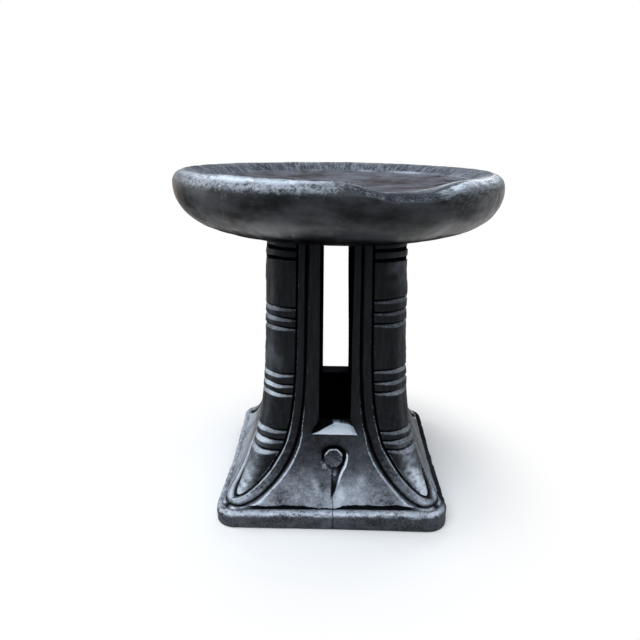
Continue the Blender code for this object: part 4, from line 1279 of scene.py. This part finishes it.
class CarvePlinth(bpy.types.Operator):
    """Carve the square plinth with its soft shoulder"""

    bl_idname = "stool.carve_plinth"
    bl_label = "Plinth"

    def execute(self, context):
        colours = context.scene.stool_colours
        grid, traits = plinth_surface(context.scene.stool_sizes)
        finish = blackened_wood("plinth_finish", colours, 0.56, low=0.29, brown=0.2, rough=0.46, grit=0.8)
        put_tube("carved_plinth", grid, traits, finish, "plinth")
        return {"FINISHED"}


def area_lamp(name, place, width, height, watts, colour):
    lamp = bpy.data.lights.new(name, "AREA")
    lamp.shape = "RECTANGLE"
    lamp.size, lamp.size_y = width, height
    lamp.energy = watts
    lamp.color = colour
    obj = bpy.data.objects.new(name, lamp)
    obj.location = place
    obj.rotation_euler = (Vector(LAMP_AIM) - Vector(place)).to_track_quat("-Z", "Y").to_euler()
    bpy.context.scene.collection.objects.link(obj)


def seen_rays(tree):
    """1 for the camera's rays and for rays in reflections and through glass."""
    rays = add_node(tree, "ShaderNodeLightPath").outputs
    seen = math_node(tree, "MAXIMUM", rays["Is Camera Ray"], rays["Is Glossy Ray"])
    return math_node(tree, "MAXIMUM", seen, rays["Is Transmission Ray"])


def pale_floor():
    """A pale floor that keeps the shadow near the stool and is plain white further off."""
    mesh = bpy.data.meshes.new("floor")
    signs = ((-1, -1), (1, -1), (1, 1), (-1, 1))
    corners = [(FLOOR_REACH * along_x, FLOOR_REACH * along_y, FLOOR_LEVEL) for along_x, along_y in signs]
    mesh.from_pydata(corners, [], [(0, 1, 2, 3)])
    floor = bpy.data.objects.new("floor", mesh)
    bpy.context.scene.collection.objects.link(floor)
    material = bpy.data.materials.new("pale_floor")
    material.use_nodes = True
    tree = material.node_tree
    shader = tree.nodes["Principled BSDF"]
    shader.inputs["Base Color"].default_value = (0.88, 0.88, 0.88, 1.0)
    shader.inputs["Roughness"].default_value = 0.9
    shader.inputs["Specular IOR Level"].default_value = 0.0
    coords = add_node(tree, "ShaderNodeTexCoord").outputs["Object"]
    away = add_node(tree, "ShaderNodeVectorMath", {0: coords}, operation="LENGTH").outputs["Value"]
    share = math_node(tree, "MULTIPLY", ramp(tree, away, 0.15, 0.35), seen_rays(tree))
    white = add_node(tree, "ShaderNodeEmission", {"Color": WHITE, "Strength": 1.0})
    both = add_node(tree, "ShaderNodeMixShader", {0: share, 1: shader.outputs[0], 2: white.outputs[0]})
    tree.links.new(both.outputs[0], tree.nodes["Material Output"].inputs["Surface"])
    mesh.materials.append(material)


def studio_world():
    """Even grey light, white where the camera or a reflection sees it."""
    world = bpy.data.worlds.new("studio")
    bpy.context.scene.world = world
    world.use_nodes = True
    tree = world.node_tree
    tree.nodes.clear()
    light = add_node(tree, "ShaderNodeBackground", {"Color": (0.92, 0.95, 1.0, 1.0), "Strength": 0.22})
    white = add_node(tree, "ShaderNodeBackground", {"Color": WHITE, "Strength": 1.0})
    shown = {0: seen_rays(tree), 1: light.outputs[0], 2: white.outputs[0]}
    both = add_node(tree, "ShaderNodeMixShader", shown)
    add_node(tree, "ShaderNodeOutputWorld", {"Surface": both.outputs[0]})


def photo_camera():
    """Camera a little above the seat, looking down at the stool's middle."""
    pan, pitch, roll = CAMERA_TURNS
    forward = Vector((-math.sin(pan) * math.cos(pitch), math.cos(pan) * math.cos(pitch), -math.sin(pitch)))
    right = Vector((math.cos(pan), math.sin(pan), 0.0))
    up = right.cross(forward)
    side = math.cos(roll) * right + math.sin(roll) * up
    top = -math.sin(roll) * right + math.cos(roll) * up
    camera = bpy.data.cameras.new("camera")
    camera.sensor_width = 36.0
    camera.lens = CAMERA_LENS
    camera.clip_start = 0.05
    obj = bpy.data.objects.new("camera", camera)
    axes = Matrix((side, top, -forward)).transposed().to_4x4()
    obj.matrix_world = Matrix.Translation(CAMERA_PLACE) @ axes
    bpy.context.scene.collection.objects.link(obj)
    bpy.context.scene.camera = obj


class SetStage(bpy.types.Operator):
    """Set the pale floor, the soft light and the camera"""

    bl_idname = "stool.set_stage"
    bl_label = "Stage"

    def execute(self, context):
        pale_floor()
        studio_world()
        photo_camera()
        for name, lamp in LAMPS.items():
            area_lamp(name, *lamp)
        context.scene.view_settings.view_transform = "Standard"
        return {"FINISHED"}


class StoolPanel(bpy.types.Panel):
    """Sizes, colours and steps of the carved stool"""

    bl_idname = "VIEW3D_PT_stool"
    bl_label = "Carved stool"
    bl_space_type = "VIEW_3D"
    bl_region_type = "UI"
    bl_category = "Stool"

    def draw(self, context):
        layout = self.layout
        for group in (context.scene.stool_sizes, context.scene.stool_colours):
            box = layout.box()
            for key in group.__annotations__:
                box.prop(group, key)
        for step in STEPS:
            layout.operator(step.bl_idname, text=step.bl_label)


STEPS = (CarveSeat, CarveLegs, CarveStraps, CarveWebs, CarveBoss, CarvePlinth, SetStage)
CLASSES = (StoolSizes, StoolColours, *STEPS, StoolPanel)


def register():
    for made in CLASSES:
        bpy.utils.register_class(made)
    bpy.types.Scene.stool_sizes = PointerProperty(type=StoolSizes)
    bpy.types.Scene.stool_colours = PointerProperty(type=StoolColours)


def unregister():
    del bpy.types.Scene.stool_colours
    del bpy.types.Scene.stool_sizes
    for made in reversed(CLASSES):
        bpy.utils.unregister_class(made)


def main():
    register()
    for step in (
        bpy.ops.stool.carve_seat,
        bpy.ops.stool.carve_legs,
        bpy.ops.stool.carve_straps,
        bpy.ops.stool.carve_webs,
        bpy.ops.stool.carve_boss,
        bpy.ops.stool.carve_plinth,
        bpy.ops.stool.set_stage,
    ):
        step()


if __name__ == "__main__":
    main()
